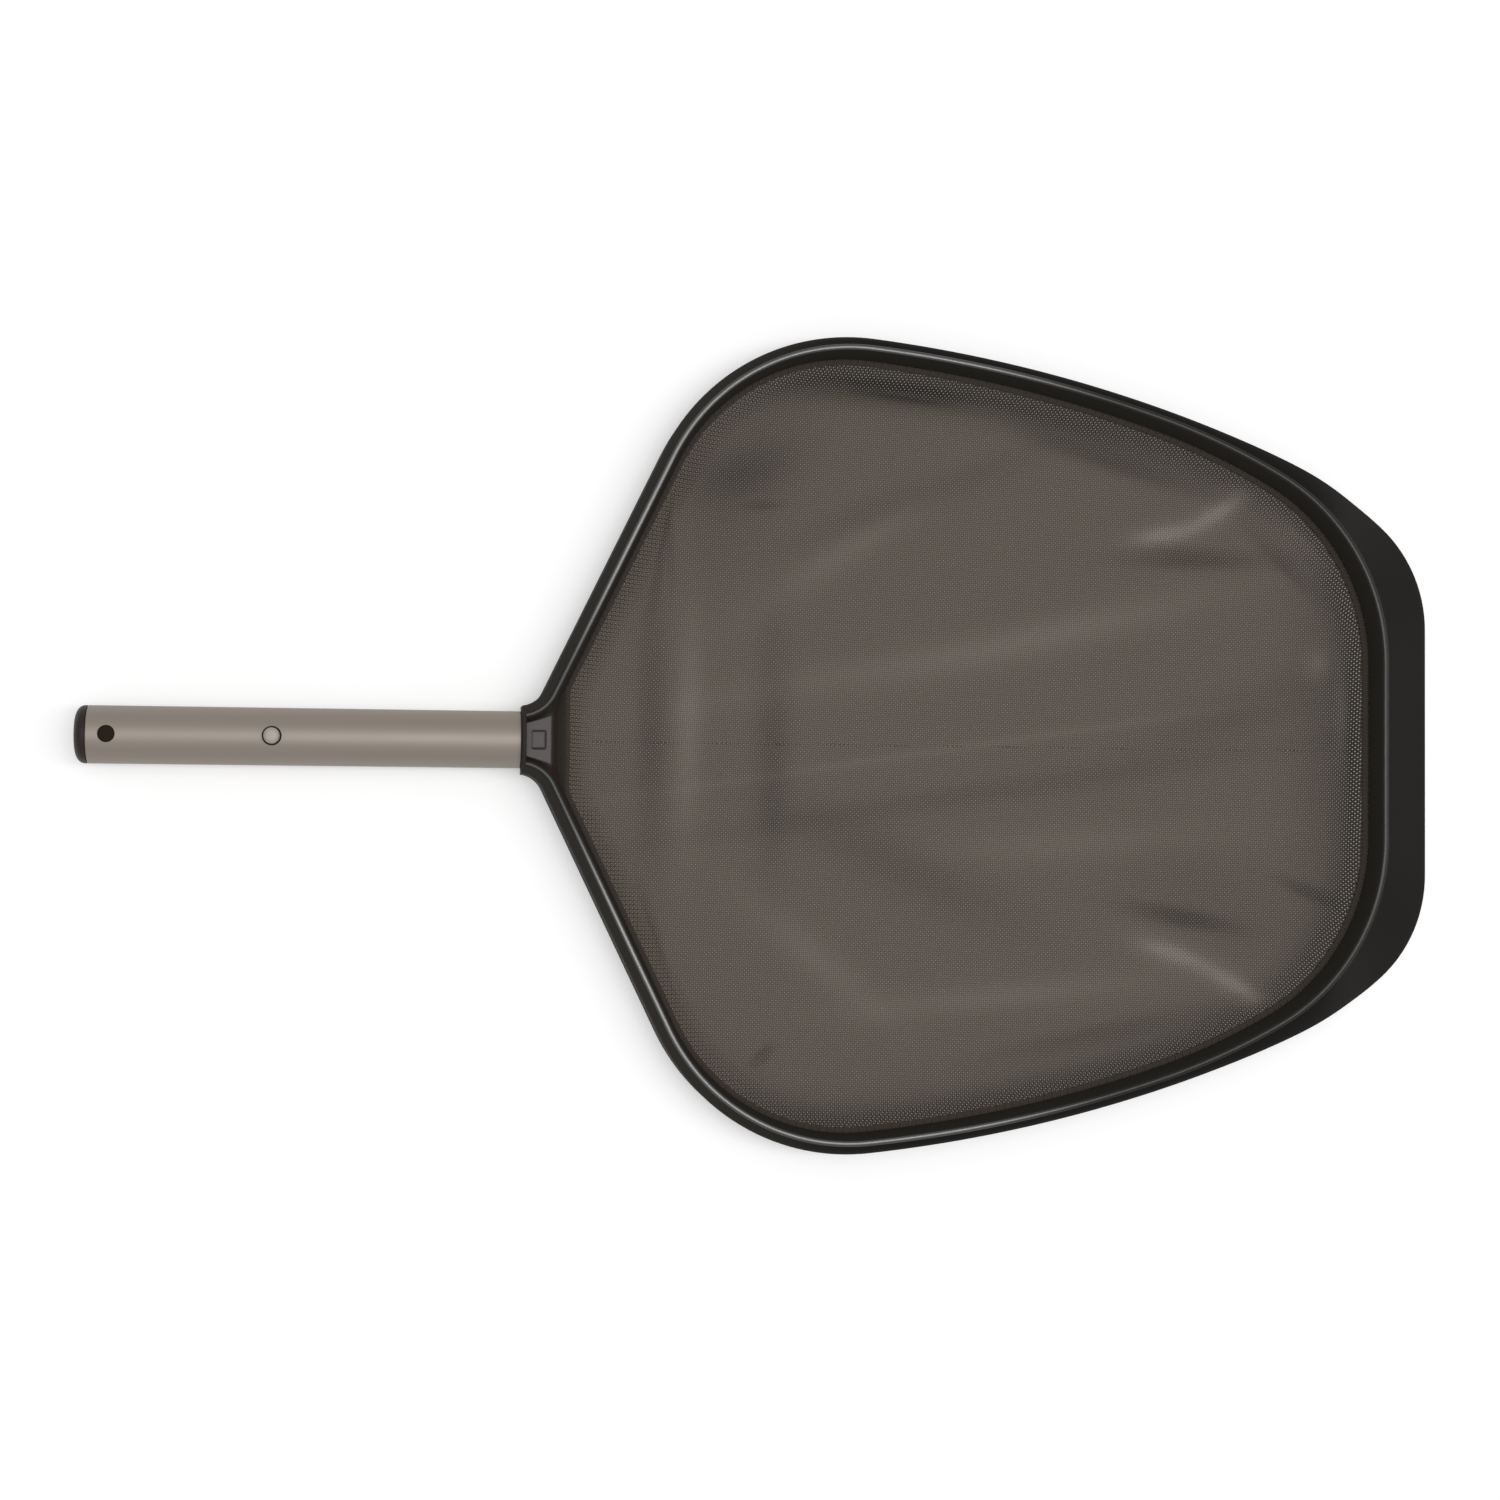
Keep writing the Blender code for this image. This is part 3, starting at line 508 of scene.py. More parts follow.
# %% The rim's section
LEAN_WIDTHS = (8 * MM, 30 * MM)
LIP_Z = 2.0 * MM
BEAD = 1.8 * MM  # radius of the rolled crest
BEAD_N = 0.3 * MM
BEAD_TURNS = (24, 165)  # degrees, from the bead's outer side over its top to its inner side
BEAD_SQUARENESS = 0.85  # 1 would be a true circle
FLANK_SHARES = (0.03, 0.85)  # of the way from the bead down to the shoulder
BULGE = 0.8 * MM  # of an upright flank
LOWEST_SINE = 0.64  # of the slope at which the leaning wall's foot gets no wider
FOOT_RISE = 1.0 * MM
TOE = 0.3 * MM  # how far the foot's face leans out to its toe
SHOULDER_ROUND, LIP_ROUND = 1.3, 0.6  # mm, the shoulder's fillet where it is high and at the lip
FLOOR_ROUND, FOOT_ROUND, TOE_ROUND = 0.3 * MM, 0.4 * MM, 0.25 * MM


def crossing(a, b, c, d):
    """Where the line a-b meets the line c-d: a + u (w x v) / (u x v), with u, v and w the ways from
    a to b, from c to d and from a to c."""
    u, v, w = b - a, d - c, c - a
    return a + u * (w[0] * v[1] - w[1] * v[0]) / (u[0] * v[1] - u[1] * v[0])


def fillet(before, corner, after, radius, count=4):
    """A corner p rounded by a parabola: (1 - t)^2 start + 2 t (1 - t) p + t^2 end, with start and
    end on the sides at the radius from p."""
    back, on = unit(before - corner), unit(after - corner)
    t = np.linspace(0, 1, count)[:, None]
    start, end = corner + back * radius, corner + on * radius
    return (1 - t) ** 2 * start + 2 * t * (1 - t) * corner + t ** 2 * end


def rim_section(width):
    """The rim's closed section as (n, z) rows, with the underside of the wall and the apex.

    It runs from the floor up the shoulder and the flank, over the bead, down the inner wall to the
    foot and back underneath. The flank bulges by 4 s (1 - s) of its bulge, s being the share of the
    way, and the apex is where the two walls' inner faces meet."""
    lean = smoothstep(*LEAN_WIDTHS, width)
    shoulder = np.array([width, SHOULDER_Z + (LIP_Z - SHOULDER_Z) * lean])
    centre = np.array([BEAD_N, CREST_Z - BEAD])
    turns = np.radians(np.linspace(*BEAD_TURNS, 14))
    cos, sin = np.cos(turns), np.sin(turns)
    square = np.stack([np.sign(cos) * np.abs(cos) ** BEAD_SQUARENESS, sin ** BEAD_SQUARENESS], -1)
    beads = centre + BEAD * square
    foot = np.array([FOOT_N, FOOT_Z + FOOT_RISE])
    down, back = unit(shoulder - beads[0]), unit(foot - beads[-1])
    out_in, in_out = WALL * np.array([down[1], -down[0]]), WALL * np.array([-back[1], back[0]])
    apex = crossing(beads[0] + out_in, shoulder + out_in, beads[-1] + in_out, foot + in_out)
    base = width - WALL / max(-down[1], LOWEST_SINE) if lean > 0.5 else width - WALL
    under = np.array([base, max(shoulder[1] - 1.4 * MM, 0.4 * MM)])
    share = np.linspace(*FLANK_SHARES, 5)[:, None]
    flank = beads[0] + (shoulder - beads[0]) * share
    bulge = BULGE * (1 - lean) * 4 * share * (1 - share)
    flank = flank + bulge * np.array([-down[1], down[0]])
    low = np.array([width, 0.0])
    ease = (SHOULDER_ROUND + (LIP_ROUND - SHOULDER_ROUND) * lean) * MM
    toe = np.array([FOOT_N + TOE, FOOT_Z])
    tuck = np.array([FOOT_N + WALL, FOOT_Z])
    section = np.concatenate([
        fillet(np.array([base, 0.0]), low, shoulder, FLOOR_ROUND, 3),
        fillet(low, shoulder, flank[-1], ease, 6), flank[::-1], beads,
        fillet(beads[-1], foot, toe, FOOT_ROUND, 3), fillet(foot, toe, tuck, TOE_ROUND, 3),
        [tuck, apex, under, [base, 0.0]]])
    return section, under, apex


def stand(points, normals, section):
    """Section rows (n, z) stood on plan points: x, y = point + normal * n."""
    section = np.asarray(section, float)
    if section.ndim == 2:
        section = np.repeat(section[None], len(points), 0)
    flat = points[:, None] + normals[:, None] * section[..., :1]
    return np.concatenate([flat, section[..., 1:]], -1)


def along(points, normals, distance):
    """Point and normal at a distance along an outline, between its points in proportion."""
    run = np.concatenate([[0], np.cumsum(np.linalg.norm(np.diff(points, axis=0), axis=1))])
    at = np.array([np.interp(distance, run, points[:, i]) for i in (0, 1)])
    n = np.array([np.interp(distance, run, normals[:, i]) for i in (0, 1)])
    return at, unit(n)


# %% [markdown]
# The section's points become the columns of the rim's lattice, so a finish is given by column. The
# top of the bead is drawn as rubbed shiny along the sides, fading out at the arms and before the lip.
# The inner wall is coloured greyer all round as painted light. The outer wall is coloured so on the
# arms, from where it fades towards the lip.

# %% The rim's skin
OUTER_WALL = slice(3, 16)  # columns from the shoulder up to the bead
CREST_TOP = slice(16, 25)
INNER_WALL = slice(25, 31)  # columns down to the foot
SHINE_STARTS, SHINE_ENDS = (-115 * MM, -75 * MM), (90 * MM, 175 * MM)
OUTER_FADE = (-60 * MM, 60 * MM)

full_crest, full_normals = whole(crest, crest_normals, False)
full_widths = np.concatenate([widths[::-1], widths[1:]])
sections = np.array([rim_section(w)[0] for w in full_widths])
rim = skin(stand(full_crest, full_normals, sections))
column = np.tile(np.arange(sections.shape[1]), len(sections) - 1)
rim_polished = np.flatnonzero((column >= CREST_TOP.start) & (column < CREST_TOP.stop))
rim_x = np.repeat(full_crest[:, :1], sections.shape[1], 1)
rim_shine = smoothstep(*SHINE_STARTS, rim_x) * (1 - smoothstep(*SHINE_ENDS, rim_x))
# Painted light: greyer on the inner wall, and on the outer wall of the arms, fading out towards the lip.
rim_painted_light = np.zeros(sections.shape[:2])
rim_painted_light[:, INNER_WALL] = 1.0
rim_painted_light[:, OUTER_WALL] = 1 - smoothstep(*OUTER_FADE, rim_x[:, OUTER_WALL])
print(f"rim: {len(sections)} sections of {sections.shape[1]} points, {len(rim_polished)} shiny faces")

# %% [markdown]
# ## Yoke, collar and spigot
#
# The yoke is a web between the horns: a small plate with a bare recess, side slopes that climb to
# the crests, and a drop down to the mouth. Its height is a formula on a fine lattice of points, so
# plate, slopes and drop run into each other as they do in a mould. The same lattice 1.8 mm lower
# closes its underside. A block under the plate ties the two horns together.

# %% The yoke's web
WEB_ROWS, WEB_COLUMNS = 60, 101
PLATE_HALF, PLATE_WIDENS = 7.4, 4.4  # mm, half width at the collar and its growth to the front
RECESS_X, RECESS_Y = (4.2 * MM, 2.6 * MM), (5.2 * MM, 3.6 * MM)  # from its rim to its flat
RECESS_DEPTH = 0.4 * MM
PLATE_LOW_Z = 20 * MM  # the web's faces above it have the plate's finish
SLOPE_TOP_Z = CREST_Z - 2.5 * MM
SLOPE_SHORT = 1.2 * MM  # by which the slopes end short of the crest line


def half_width(points, x):
    """Half width of a half outline at x, on the yoke's side."""
    back_part = points[points[:, 0] < 0.0]
    order = np.argsort(back_part[:, 0])
    return np.interp(x, back_part[order, 0], back_part[order, 1])


def plate_height(x, y, crest_y):
    """z of the web: the plate's height, raised towards the crests by a smoothstep across the slopes,
    lowered towards the mouth by another, and less the recess."""
    t = np.clip((x - COLLAR_X) / (PLATE_FRONT_X - COLLAR_X), 0, 1)
    plate_y = (PLATE_HALF + PLATE_WIDENS * t) * MM
    climb = (np.abs(y) - plate_y) / np.maximum(crest_y - SLOPE_SHORT - plate_y, 1e-6)
    climb = smoothstep(0.0, 1.0, climb)
    fall = smoothstep(PLATE_FRONT_X - 0.8 * MM, DROP_FOOT_X, x) ** 0.9
    plate = PLATE_Z - (PLATE_Z - FOOT_Z - 0.3 * MM) * fall
    middle = 0.5 * (COLLAR_X + COLLAR_THICK + PLATE_FRONT_X)
    inset = smoothstep(*RECESS_X, np.abs(x - middle)) * smoothstep(*RECESS_Y, np.abs(y))
    return plate + (SLOPE_TOP_Z - plate) * climb * (1 - fall) - RECESS_DEPTH * inset


x_line = np.linspace(COLLAR_X + 0.8 * MM, DROP_FOOT_X, WEB_ROWS)
share_line = np.linspace(-1, 1, WEB_COLUMNS)
crest_line = half_width(crest, x_line)
web_x = np.repeat(x_line[:, None], WEB_COLUMNS, 1)
web_y = share_line[None] * (crest_line[:, None] - 0.2 * MM)
web_z = plate_height(web_x, web_y, crest_line[:, None])
top = np.stack([web_x, web_y, web_z], -1)
bottom = top - np.array([0, 0, WEB])
bottom[..., 2] = np.maximum(bottom[..., 2], FOOT_Z)
web = skin(np.concatenate([top, bottom[:, ::-1]], 1))
web_row, web_column = np.divmod(np.arange((WEB_ROWS - 1) * 2 * WEB_COLUMNS), 2 * WEB_COLUMNS)
web_high = web_z[web_row, np.minimum(web_column, WEB_COLUMNS - 1)] > PLATE_LOW_Z
web_plate = np.flatnonzero((web_column < WEB_COLUMNS - 1) & web_high)
print(f"web: {web_z.size} heights, up to {2 * crest_line.max() / MM:.1f} mm wide")

# %% Block, collar and spigot
BLOCK_X = (-131.4 * MM, -119.2 * MM)
BLOCK_Z = (0.4 * MM, 17 * MM)
SPIGOT_RADIUS = 12.4 * MM
FLUTE = 3.0 * MM
SPIGOT_SIDES = 144
COLLAR_ROUND = 0.95 * MM
SPIGOT_STATIONS = ((-132.5 * MM, 1.0), (-181 * MM, 1.0), (-183 * MM, 0.9))  # x and share of radius

block_x = np.linspace(*BLOCK_X, 24)
wall_line = half_width(crest + crest_normals * (widths - WALL / 2)[:, None], block_x)
block = skin([[(x, -y, BLOCK_Z[0]), (x, y, BLOCK_Z[0]), (x, y, BLOCK_Z[1]), (x, -y, BLOCK_Z[1])]
              for x, y in zip(block_x, wall_line)])

collar_profile = [(0.0, 0.0), (COLLAR_RADIUS, 0.0), (COLLAR_RADIUS, COLLAR_THICK), (0.0, COLLAR_THICK)]
collar = turned(eased(collar_profile, COLLAR_ROUND, 6), (COLLAR_X, 0, TUBE_Z), (1, 0, 0), 128)

angles = 2 * np.pi * np.arange(SPIGOT_SIDES) / SPIGOT_SIDES
flute = SPIGOT_RADIUS - FLUTE * np.maximum(0.0, -np.cos(4 * angles))  # four flutes round the spigot
fluted_ring = np.stack([np.zeros(SPIGOT_SIDES), flute * np.cos(angles), flute * np.sin(angles)], -1)
spigot = skin([fluted_ring * share + (x, 0, TUBE_Z) for x, share in SPIGOT_STATIONS])
print(f"collar {2 * COLLAR_RADIUS / MM:.1f} mm across, spigot {2 * flute.min() / MM:.1f} mm in its flutes")

# %% [markdown]
# ## Under the rim
#
# Round screw bosses stand under the rim, and beneath the lip thin ribs reach from the hollow's apex
# to the clamp ring. A moulding has them because a thick wall would sink in as it cools. They are
# joined to the hoop's mesh, as they are one piece with it.

# %% Bosses, ribs and the finished hoop
RIBS = (0.0, 22 * MM, 68 * MM, 91 * MM, 114 * MM, 137 * MM)  # along the crest, from the front
SCREWS = (45 * MM, 165 * MM, 285 * MM, 405 * MM, 525 * MM)  # along the mouth's line
SCREW_N = 0.9 * MM
SCREW_TIP_Z, YOKE_SCREW_TIP_Z = 20.7 * MM, 17.7 * MM
YOKE_SCREW_Y = 9 * MM
BOSS_BORE, BOSS_RADIUS, BOSS_FOOT_Z = 1.55 * MM, 2.6 * MM, 13.6 * MM
BOSS_TOP_Z, YOKE_BOSS_TOP_Z = 25 * MM, 17.5 * MM
RIB_N, RIB_Z = 4.3 * MM, 7 * MM  # where a rib stands beside the ring, and its underside
RIB_OVER_Z = 14.1 * MM  # where it passes over the ring

screw_spots = []
for distance in SCREWS:
    at, normal = along(mouth_half, mouth_half_normals, distance)
    at = at + normal * SCREW_N
    screw_spots += [(at[0], at[1], SCREW_TIP_Z), (at[0], -at[1], SCREW_TIP_Z)]
screw_spots += [(CROSS_X - SCREW_N, s * YOKE_SCREW_Y, YOKE_SCREW_TIP_Z) for s in (1, -1)]

under_parts = []
for x, y, tip in screw_spots:
    high = (BOSS_TOP_Z if tip == SCREW_TIP_Z else YOKE_BOSS_TOP_Z) - BOSS_FOOT_Z
    sleeve = [(BOSS_BORE, 0.0), (BOSS_RADIUS, 0.0), (BOSS_RADIUS, high), (BOSS_BORE, high)]
    under_parts.append(turned(sleeve, (x, y, BOSS_FOOT_Z), (0, 0, 1), 28))
for distance in RIBS:
    at, normal = along(crest, crest_normals, distance)
    width = reach(at[None], normal[None], edge_line)[0]
    _, under, apex = rim_section(width)
    low = under + (apex - under) * max(RIB_Z - under[1], 0.0) / (apex[1] - under[1])
    hidden = FOOT_N + WALL
    outline = [(RIB_N, RIB_Z), (low[0] + 0.7 * MM, RIB_Z), (apex[0], apex[1] + 0.5 * MM),
               (hidden - 0.4 * MM, 16.5 * MM), (hidden + 0.8 * MM, RIB_OVER_Z), (RIB_N, RIB_OVER_Z)]
    tangent = np.array([-normal[1], normal[0], 0.0])
    for side in ((1,) if distance == 0 else (1, -1)):
        p, n = at * (1, side), normal * (1, side)
        t = tangent * np.array([side, 1.0, 0.0])
        rows = stand(p[None], n[None], outline)[0] - t * WEB / 2
        under_parts.append(prism(rows, t * WEB))

hoop_shape = join(rim, web, block, collar, spigot, *under_parts)
hidden_points = len(spigot[0]) + sum(len(part[0]) for part in under_parts)
# Painted light: the web and the collar take the greyer colour, the block and the hidden parts the
# near-black one.
painted_shading = np.concatenate([rim_painted_light.ravel(), np.ones(len(web[0])), np.zeros(len(block[0])),
                       np.ones(len(collar[0])), np.zeros(hidden_points)])
shine = np.concatenate([rim_shine.ravel(), np.zeros(len(painted_shading) - rim_shine.size)])
hoop = build("hoop_moulding", hoop_shape, ABS_PAINTED_LIGHT, 28, marks={"painted_shading": painted_shading, "shine": shine},
             zones=((POLISHED, rim_polished), (PLATE, len(rim[1]) + web_plate)))
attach(hoop, "skimmer")
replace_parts(hoop, "frame")
print(f"hoop: {len(hoop_shape[0])} points, {len(screw_spots)} bosses, {2 * len(RIBS) - 1} ribs")

# %% [markdown]
# ## The clamp ring and its screws
#
# The real net is held from below by a flat ring that is screwed to the hoop. The ring is one strip
# all the way round, with a groove in its top for the cord in the net's edge, so it is one section
# carried along the mouth's line. The screws are pan heads with a cross recess, cut by Booleans
# because two slots across a dome have no simple grid.

# %% The clamp ring
RING_SECTION = np.array([(3.6, 10.7), (3.6, 12.9), (3.3, 13.2), (-2.3, 13.2), (-2.3, 11.3), (-4.3, 11.3),
                         (-4.3, 13.2), (-5.1, 13.2), (-5.9, 12.4), (-5.9, 10.7), (-5.6, 10.4),
                         (3.3, 10.4)]) * MM  # (n, z) of its corners
ring = build("clamp_ring_moulding", skin(stand(mouth, mouth_normals, RING_SECTION), closed=True), BLACK)
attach(ring, "skimmer")
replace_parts(ring, "clamp_ring")
print(f"clamp ring: {len(mouth)} sections of {len(RING_SECTION)} points")

# %% Screws
HEAD = 2.0 * MM  # height of a screw's head, whose profile is (radius, height) in mm
HEAD_PROFILE = ((0.0, 0.0), (1.0, 0.02), (1.9, 0.2), (2.6, 0.8), (2.9, 1.4), (2.9, 2.0))
SLOT_WIDE, SLOT_LONG, SLOT_DEEP = 0.75 * MM, 3.2 * MM, 1.1 * MM
CLEAR = 1 * MM  # by which a cutter stands out of what it cuts
RING_HEADS_Z = 10.1 * MM
HANDLE_TIP_DROP = 4 * MM  # of the handle screws' tips, below the tube's axis


def pan_screw(name, x, y, under_head, tip, shank):
    """A pan-head screw that points up, its domed head below, with two crossed slots cut in it."""
    base = under_head - HEAD
    profile = [(r * MM, z * MM) for r, z in HEAD_PROFILE]
    profile += [(shank, HEAD), (shank, tip - base - 1.6 * MM), (0.35 * MM, tip - base), (0.0, tip - base)]
    screw = build(name, turned(profile, (x, y, base), (0, 0, 1), 40), STEEL)
    cutters = []
    for wide, long in ((SLOT_WIDE, SLOT_LONG), (SLOT_LONG, SLOT_WIDE)):
        rows = [(x + a * wide / 2, y + b * long / 2, base - CLEAR)
                for a, b in ((-1, -1), (1, -1), (1, 1), (-1, 1))]
        cutters.append(build("slot_tool", prism(rows, (0, 0, CLEAR + SLOT_DEEP)), STEEL))
    carve(screw, *cutters)
    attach(screw, "skimmer")
    return screw


for k, (x, y, tip) in enumerate(screw_spots, 1):
    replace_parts(pan_screw(f"ring_screw_head_{k:02d}", x, y, RING_HEADS_Z, tip, 1.25 * MM),
                f"ring_screw_{k:02d}")
for k, x in enumerate(HANDLE_SCREWS_X, 1):
    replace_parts(pan_screw(f"handle_screw_head_{k}", x, 0.0, TUBE_Z - TUBE_RADIUS - 0.3 * MM,
                          TUBE_Z - HANDLE_TIP_DROP, 1.5 * MM), f"handle_screw_{k}")
print(f"{len(screw_spots)} ring screws and {len(HANDLE_SCREWS_X)} handle screws")

# %% [markdown]
# ## The tray
#
# The net hangs in its clamp as a shallow tray. Its height depends on D, the distance inside the foot
# of the rim: it lies flat in the clamp, drops over the ring's inner edge and runs out into a nearly
# flat floor. It is stretched, so a cloth simulation would add little, and a formula puts each
# fold where the real one is. A fold is z = h exp(-(a / w)^2) exp(-(b / l)^2), where a is measured
# across the fold and b along it.

# %% Fall and folds of the tray
FOOT_LINE = mouth + mouth_normals * FOOT_N
LAID_AT = np.array([(-4.0, 14.1), (1.4, 14.1), (2.9, 13.1), (5.0, 10.6), (8.6, 7.8), (13.0, 6.0),
                    (21.0, 5.1), (40.0, 4.6), (78.0, 4.2), (140.0, 3.7)]) * MM  # (D, z)
FOLDS = (  # x, y, direction in degrees, length l, width w, height h, all in mm
    (-61, 97, 80, 30, 1.8, -0.7), (-57, 100, 91, 20, 1.6, -0.5), (-66, 9, 90, 62, 7, -0.9),
    (-47, 9, 89, 60, 8, 0.8), (-3, -3, 90, 60, 9, -0.8), (-8, 124, 3, 9, 2.2, -0.7),
    (65, 184, -7, 28, 4, -1.2), (203, 113, 12, 16, 6.5, 1.7), (234, 126, 32, 20, 6.5, 1.7),
    (221, 101, 0, 36, 5, -1.1), (307, -2, 90, 34, 2.2, -0.9), (301, 22, 90, 24, 3, 0.7),
    (290, 46, 80, 9, 7, 1.0), (208, -107, -18, 18, 6.5, 1.8), (245, -125, -30, 24, 6.5, 1.7),
    (217, -89, -11, 30, 4.5, -1.2), (285, -75, -21, 17, 3.5, -0.9), (-7, -160, 45, 7, 3, -0.9),
    (-63, -96, -72, 26, 1.8, -0.6), (-22, 140, 20, 30, 12, -0.8), (100, 0, 9, 190, 3.2, 0.40),
    (110, -24, 9, 170, 6, -0.45), (60, 42, 12, 120, 9, 0.45), (40, 105, 35, 60, 9, 0.6),
    (70, 130, 22, 60, 8, -0.6), (150, 60, 16, 90, 10, 0.5), (160, -50, 4, 80, 10, 0.5),
    (120, -130, 6, 80, 8, 0.6), (296, 0, 90, 120, 20, -0.6), (45, 184, -5, 60, 8, -0.9),
    (-20, 132, 60, 55, 22, -0.5), (150, 166, -19, 60, 8, -0.6), (235, -80, -30, 60, 26, -0.3),
    (281, 109, -43, 26, 5, 0.9), (270, 100, -43, 24, 4, -0.7), (60, -60, -25, 70, 14, -0.6),
    (250, 20, 20, 60, 12, -0.5),
    (20, -110, -40, 50, 10, 0.6), (180, 150, -16, 50, 5, -0.7), (170, -150, 12, 60, 5, -0.7))
FOLD_RISE = 1.6  # the folds stand this much higher than they shade, to show from above
FOLDS_START = (3 * MM, 10 * MM)  # D over which the folds come in


def inside_distance(points, outline):
    """Distance from points to a closed outline: the least |gap - t side|, with t the share of a side
    at which a point's foot lies, kept between 0 and 1."""
    a, side = outline, np.roll(outline, -1, 0) - outline
    best = np.full(len(points), np.inf)
    for start in range(0, len(points), 4000):
        p = points[start:start + 4000]
        gap = p[:, None] - a[None]
        t = np.clip((gap * side[None]).sum(-1) / (side ** 2).sum(-1)[None], 0, 1)
        d = np.linalg.norm(gap - t[..., None] * side[None], axis=-1)
        best[start:start + 4000] = d.min(1)
    return best


def is_inside(points, outline):
    """Whether points are inside a closed outline: a ray to +X crosses an odd number of sides."""
    a, b = outline, np.roll(outline, -1, 0)
    inside = np.zeros(len(points), bool)
    for start in range(0, len(points), 4000):
        p = points[start:start + 4000]
        over = (a[None, :, 1] > p[:, None, 1]) != (b[None, :, 1] > p[:, None, 1])
        rise = np.where(b[:, 1] == a[:, 1], 1e-12, b[:, 1] - a[:, 1])
        at = a[None, :, 0] + (p[:, None, 1] - a[None, :, 1]) / rise[None] * (b - a)[None, :, 0]
        inside[start:start + 4000] = ((over & (p[:, None, 0] < at)).sum(1) % 2) == 1
    return inside


class TrayHeight:
    """The tray's height on a 1.5 mm lattice, read back by bilinear interpolation."""

    def __init__(self, spacing=1.5 * MM):
        """Works out the depth, the folds and the height at every lattice point."""
        self.low = FOOT_LINE.min(0) - 6 * MM
        self.spacing = spacing
        count = np.ceil((FOOT_LINE.max(0) + 6 * MM - self.low) / spacing).astype(int) + 1
        xs, ys = (self.low[i] + spacing * np.arange(count[i]) for i in (0, 1))
        x, y = np.meshgrid(xs, ys, indexing="ij")
        places = np.stack([x.ravel(), y.ravel()], -1)
        depth = inside_distance(places, FOOT_LINE)
        depth = np.where(is_inside(places, FOOT_LINE), depth, -depth)
        fine = np.linspace(LAID_AT[0, 0], LAID_AT[-1, 0], 1441)  # steps of 0.1 mm
        curve = np.interp(fine, LAID_AT[:, 0], LAID_AT[:, 1])
        kernel = np.exp(-np.linspace(-2, 2, 13) ** 2)  # rounds the bends over 1.2 mm
        smooth = np.convolve(np.pad(curve, 6, mode="edge"), kernel / kernel.sum(), "valid")
        z = np.interp(depth, fine, smooth)
        fold = self.folds(x.ravel(), y.ravel()) * smoothstep(*FOLDS_START, depth)
        self.z, self.fold = (z + FOLD_RISE * fold).reshape(x.shape), fold.reshape(x.shape)
        self.depth = depth.reshape(x.shape)

    @staticmethod
    def folds(x, y):
        """Sum of all folds: h exp(-(a / w)^2 - (b / l)^2)."""
        total = np.zeros_like(x)
        for cx, cy, turn, length, width, height in FOLDS:
            c, s = math.cos(math.radians(turn)), math.sin(math.radians(turn))
            dx, dy = x / MM - cx, y / MM - cy
            b, a = dx * c + dy * s, -dx * s + dy * c
            total += height * MM * np.exp(-(a / width) ** 2 - (b / length) ** 2)
        return total

    def read(self, x, y, field):
        """The field's value at x, y, from the four lattice points round it, each by its nearness."""
        u, v = (x - self.low[0]) / self.spacing, (y - self.low[1]) / self.spacing
        i = np.clip(u.astype(int), 0, self.z.shape[0] - 2)
        j = np.clip(v.astype(int), 0, self.z.shape[1] - 2)
        u, v = u - i, v - j
        return ((1 - u) * (1 - v) * field[i, j] + u * (1 - v) * field[i + 1, j]
                + (1 - u) * v * field[i, j + 1] + u * v * field[i + 1, j + 1])


tray = TrayHeight()

print(f"tray: {tray.z.size} heights, the deepest fold at {tray.z.min() / MM:.1f} mm")

# %% [markdown]
# ## The mesh
#
# The real mesh is a fine open cloth, through which the floor shows. A flat sheet with a pattern of
# holes loses that when it is seen from the side, so each thread is a flat ribbon of its own. Two
# families of them cross at right angles, each bobbing over and under the other:
# z = tray + 0.13 mm * (-1)^(j + k) at the crossing of thread j with thread k. A line in direction u
# at offset c meets a convex outline in one stretch, found from its crossings with the sides. One
# mesh would have more triangles than a piece may, so the mesh is made as two panels.

# %% Threads
WEAVE_TURN = math.radians(43.0)
BOB = 0.13 * MM
CLIP = mouth + mouth_normals * (FOOT_N + 1.1 * MM)  # the mesh ends under the rim's foot
SHORTEST = 0.4 * PITCH
# Painted shading of the mesh: its level on flat cloth, its floor, painted shade beside the rim, and
# painted light and shade on the folds.
MESH_TONE, DARKEST = 0.605, 0.12
RIM_SHADE = 0.38  # share of light lost beside the rim, towards the lip
SHADE_X, SHADE_DEPTH = (-60 * MM, 30 * MM), (2 * MM, 26 * MM)
FOLD_TONE = 0.26  # for one millimetre of fold


def stretch(outline, along_u, across_v, offset):
    """First and last s at which the line offset * v + s * u crosses a convex closed outline."""
    side_v = outline @ across_v - offset
    nxt = np.roll(side_v, -1)
    cut = side_v * nxt < 0
    if cut.sum() < 2:
        return None
    t = side_v[cut] / (side_v[cut] - nxt[cut])
    s = outline @ along_u
    at = s[cut] + t * (np.roll(s, -1)[cut] - s[cut])
    return at.min(), at.max()


def thread_painted_shading(line, wave):
    """Painted shading of a thread: full light on top of a crossing and painted shade below it, times a
    painted shade that falls beside the rim and rises and falls with the folds."""
    beside_rim = 1 - smoothstep(*SHADE_DEPTH, tray.read(*line.T, tray.depth))
    shade = MESH_TONE * (1 - RIM_SHADE * smoothstep(*SHADE_X, line[:, 0]) * beside_rim)
    shade = np.clip(shade + FOLD_TONE * tray.read(*line.T, tray.fold) / MM, DARKEST, 1.0)
    return (0.5 + 0.5 * wave) * shade


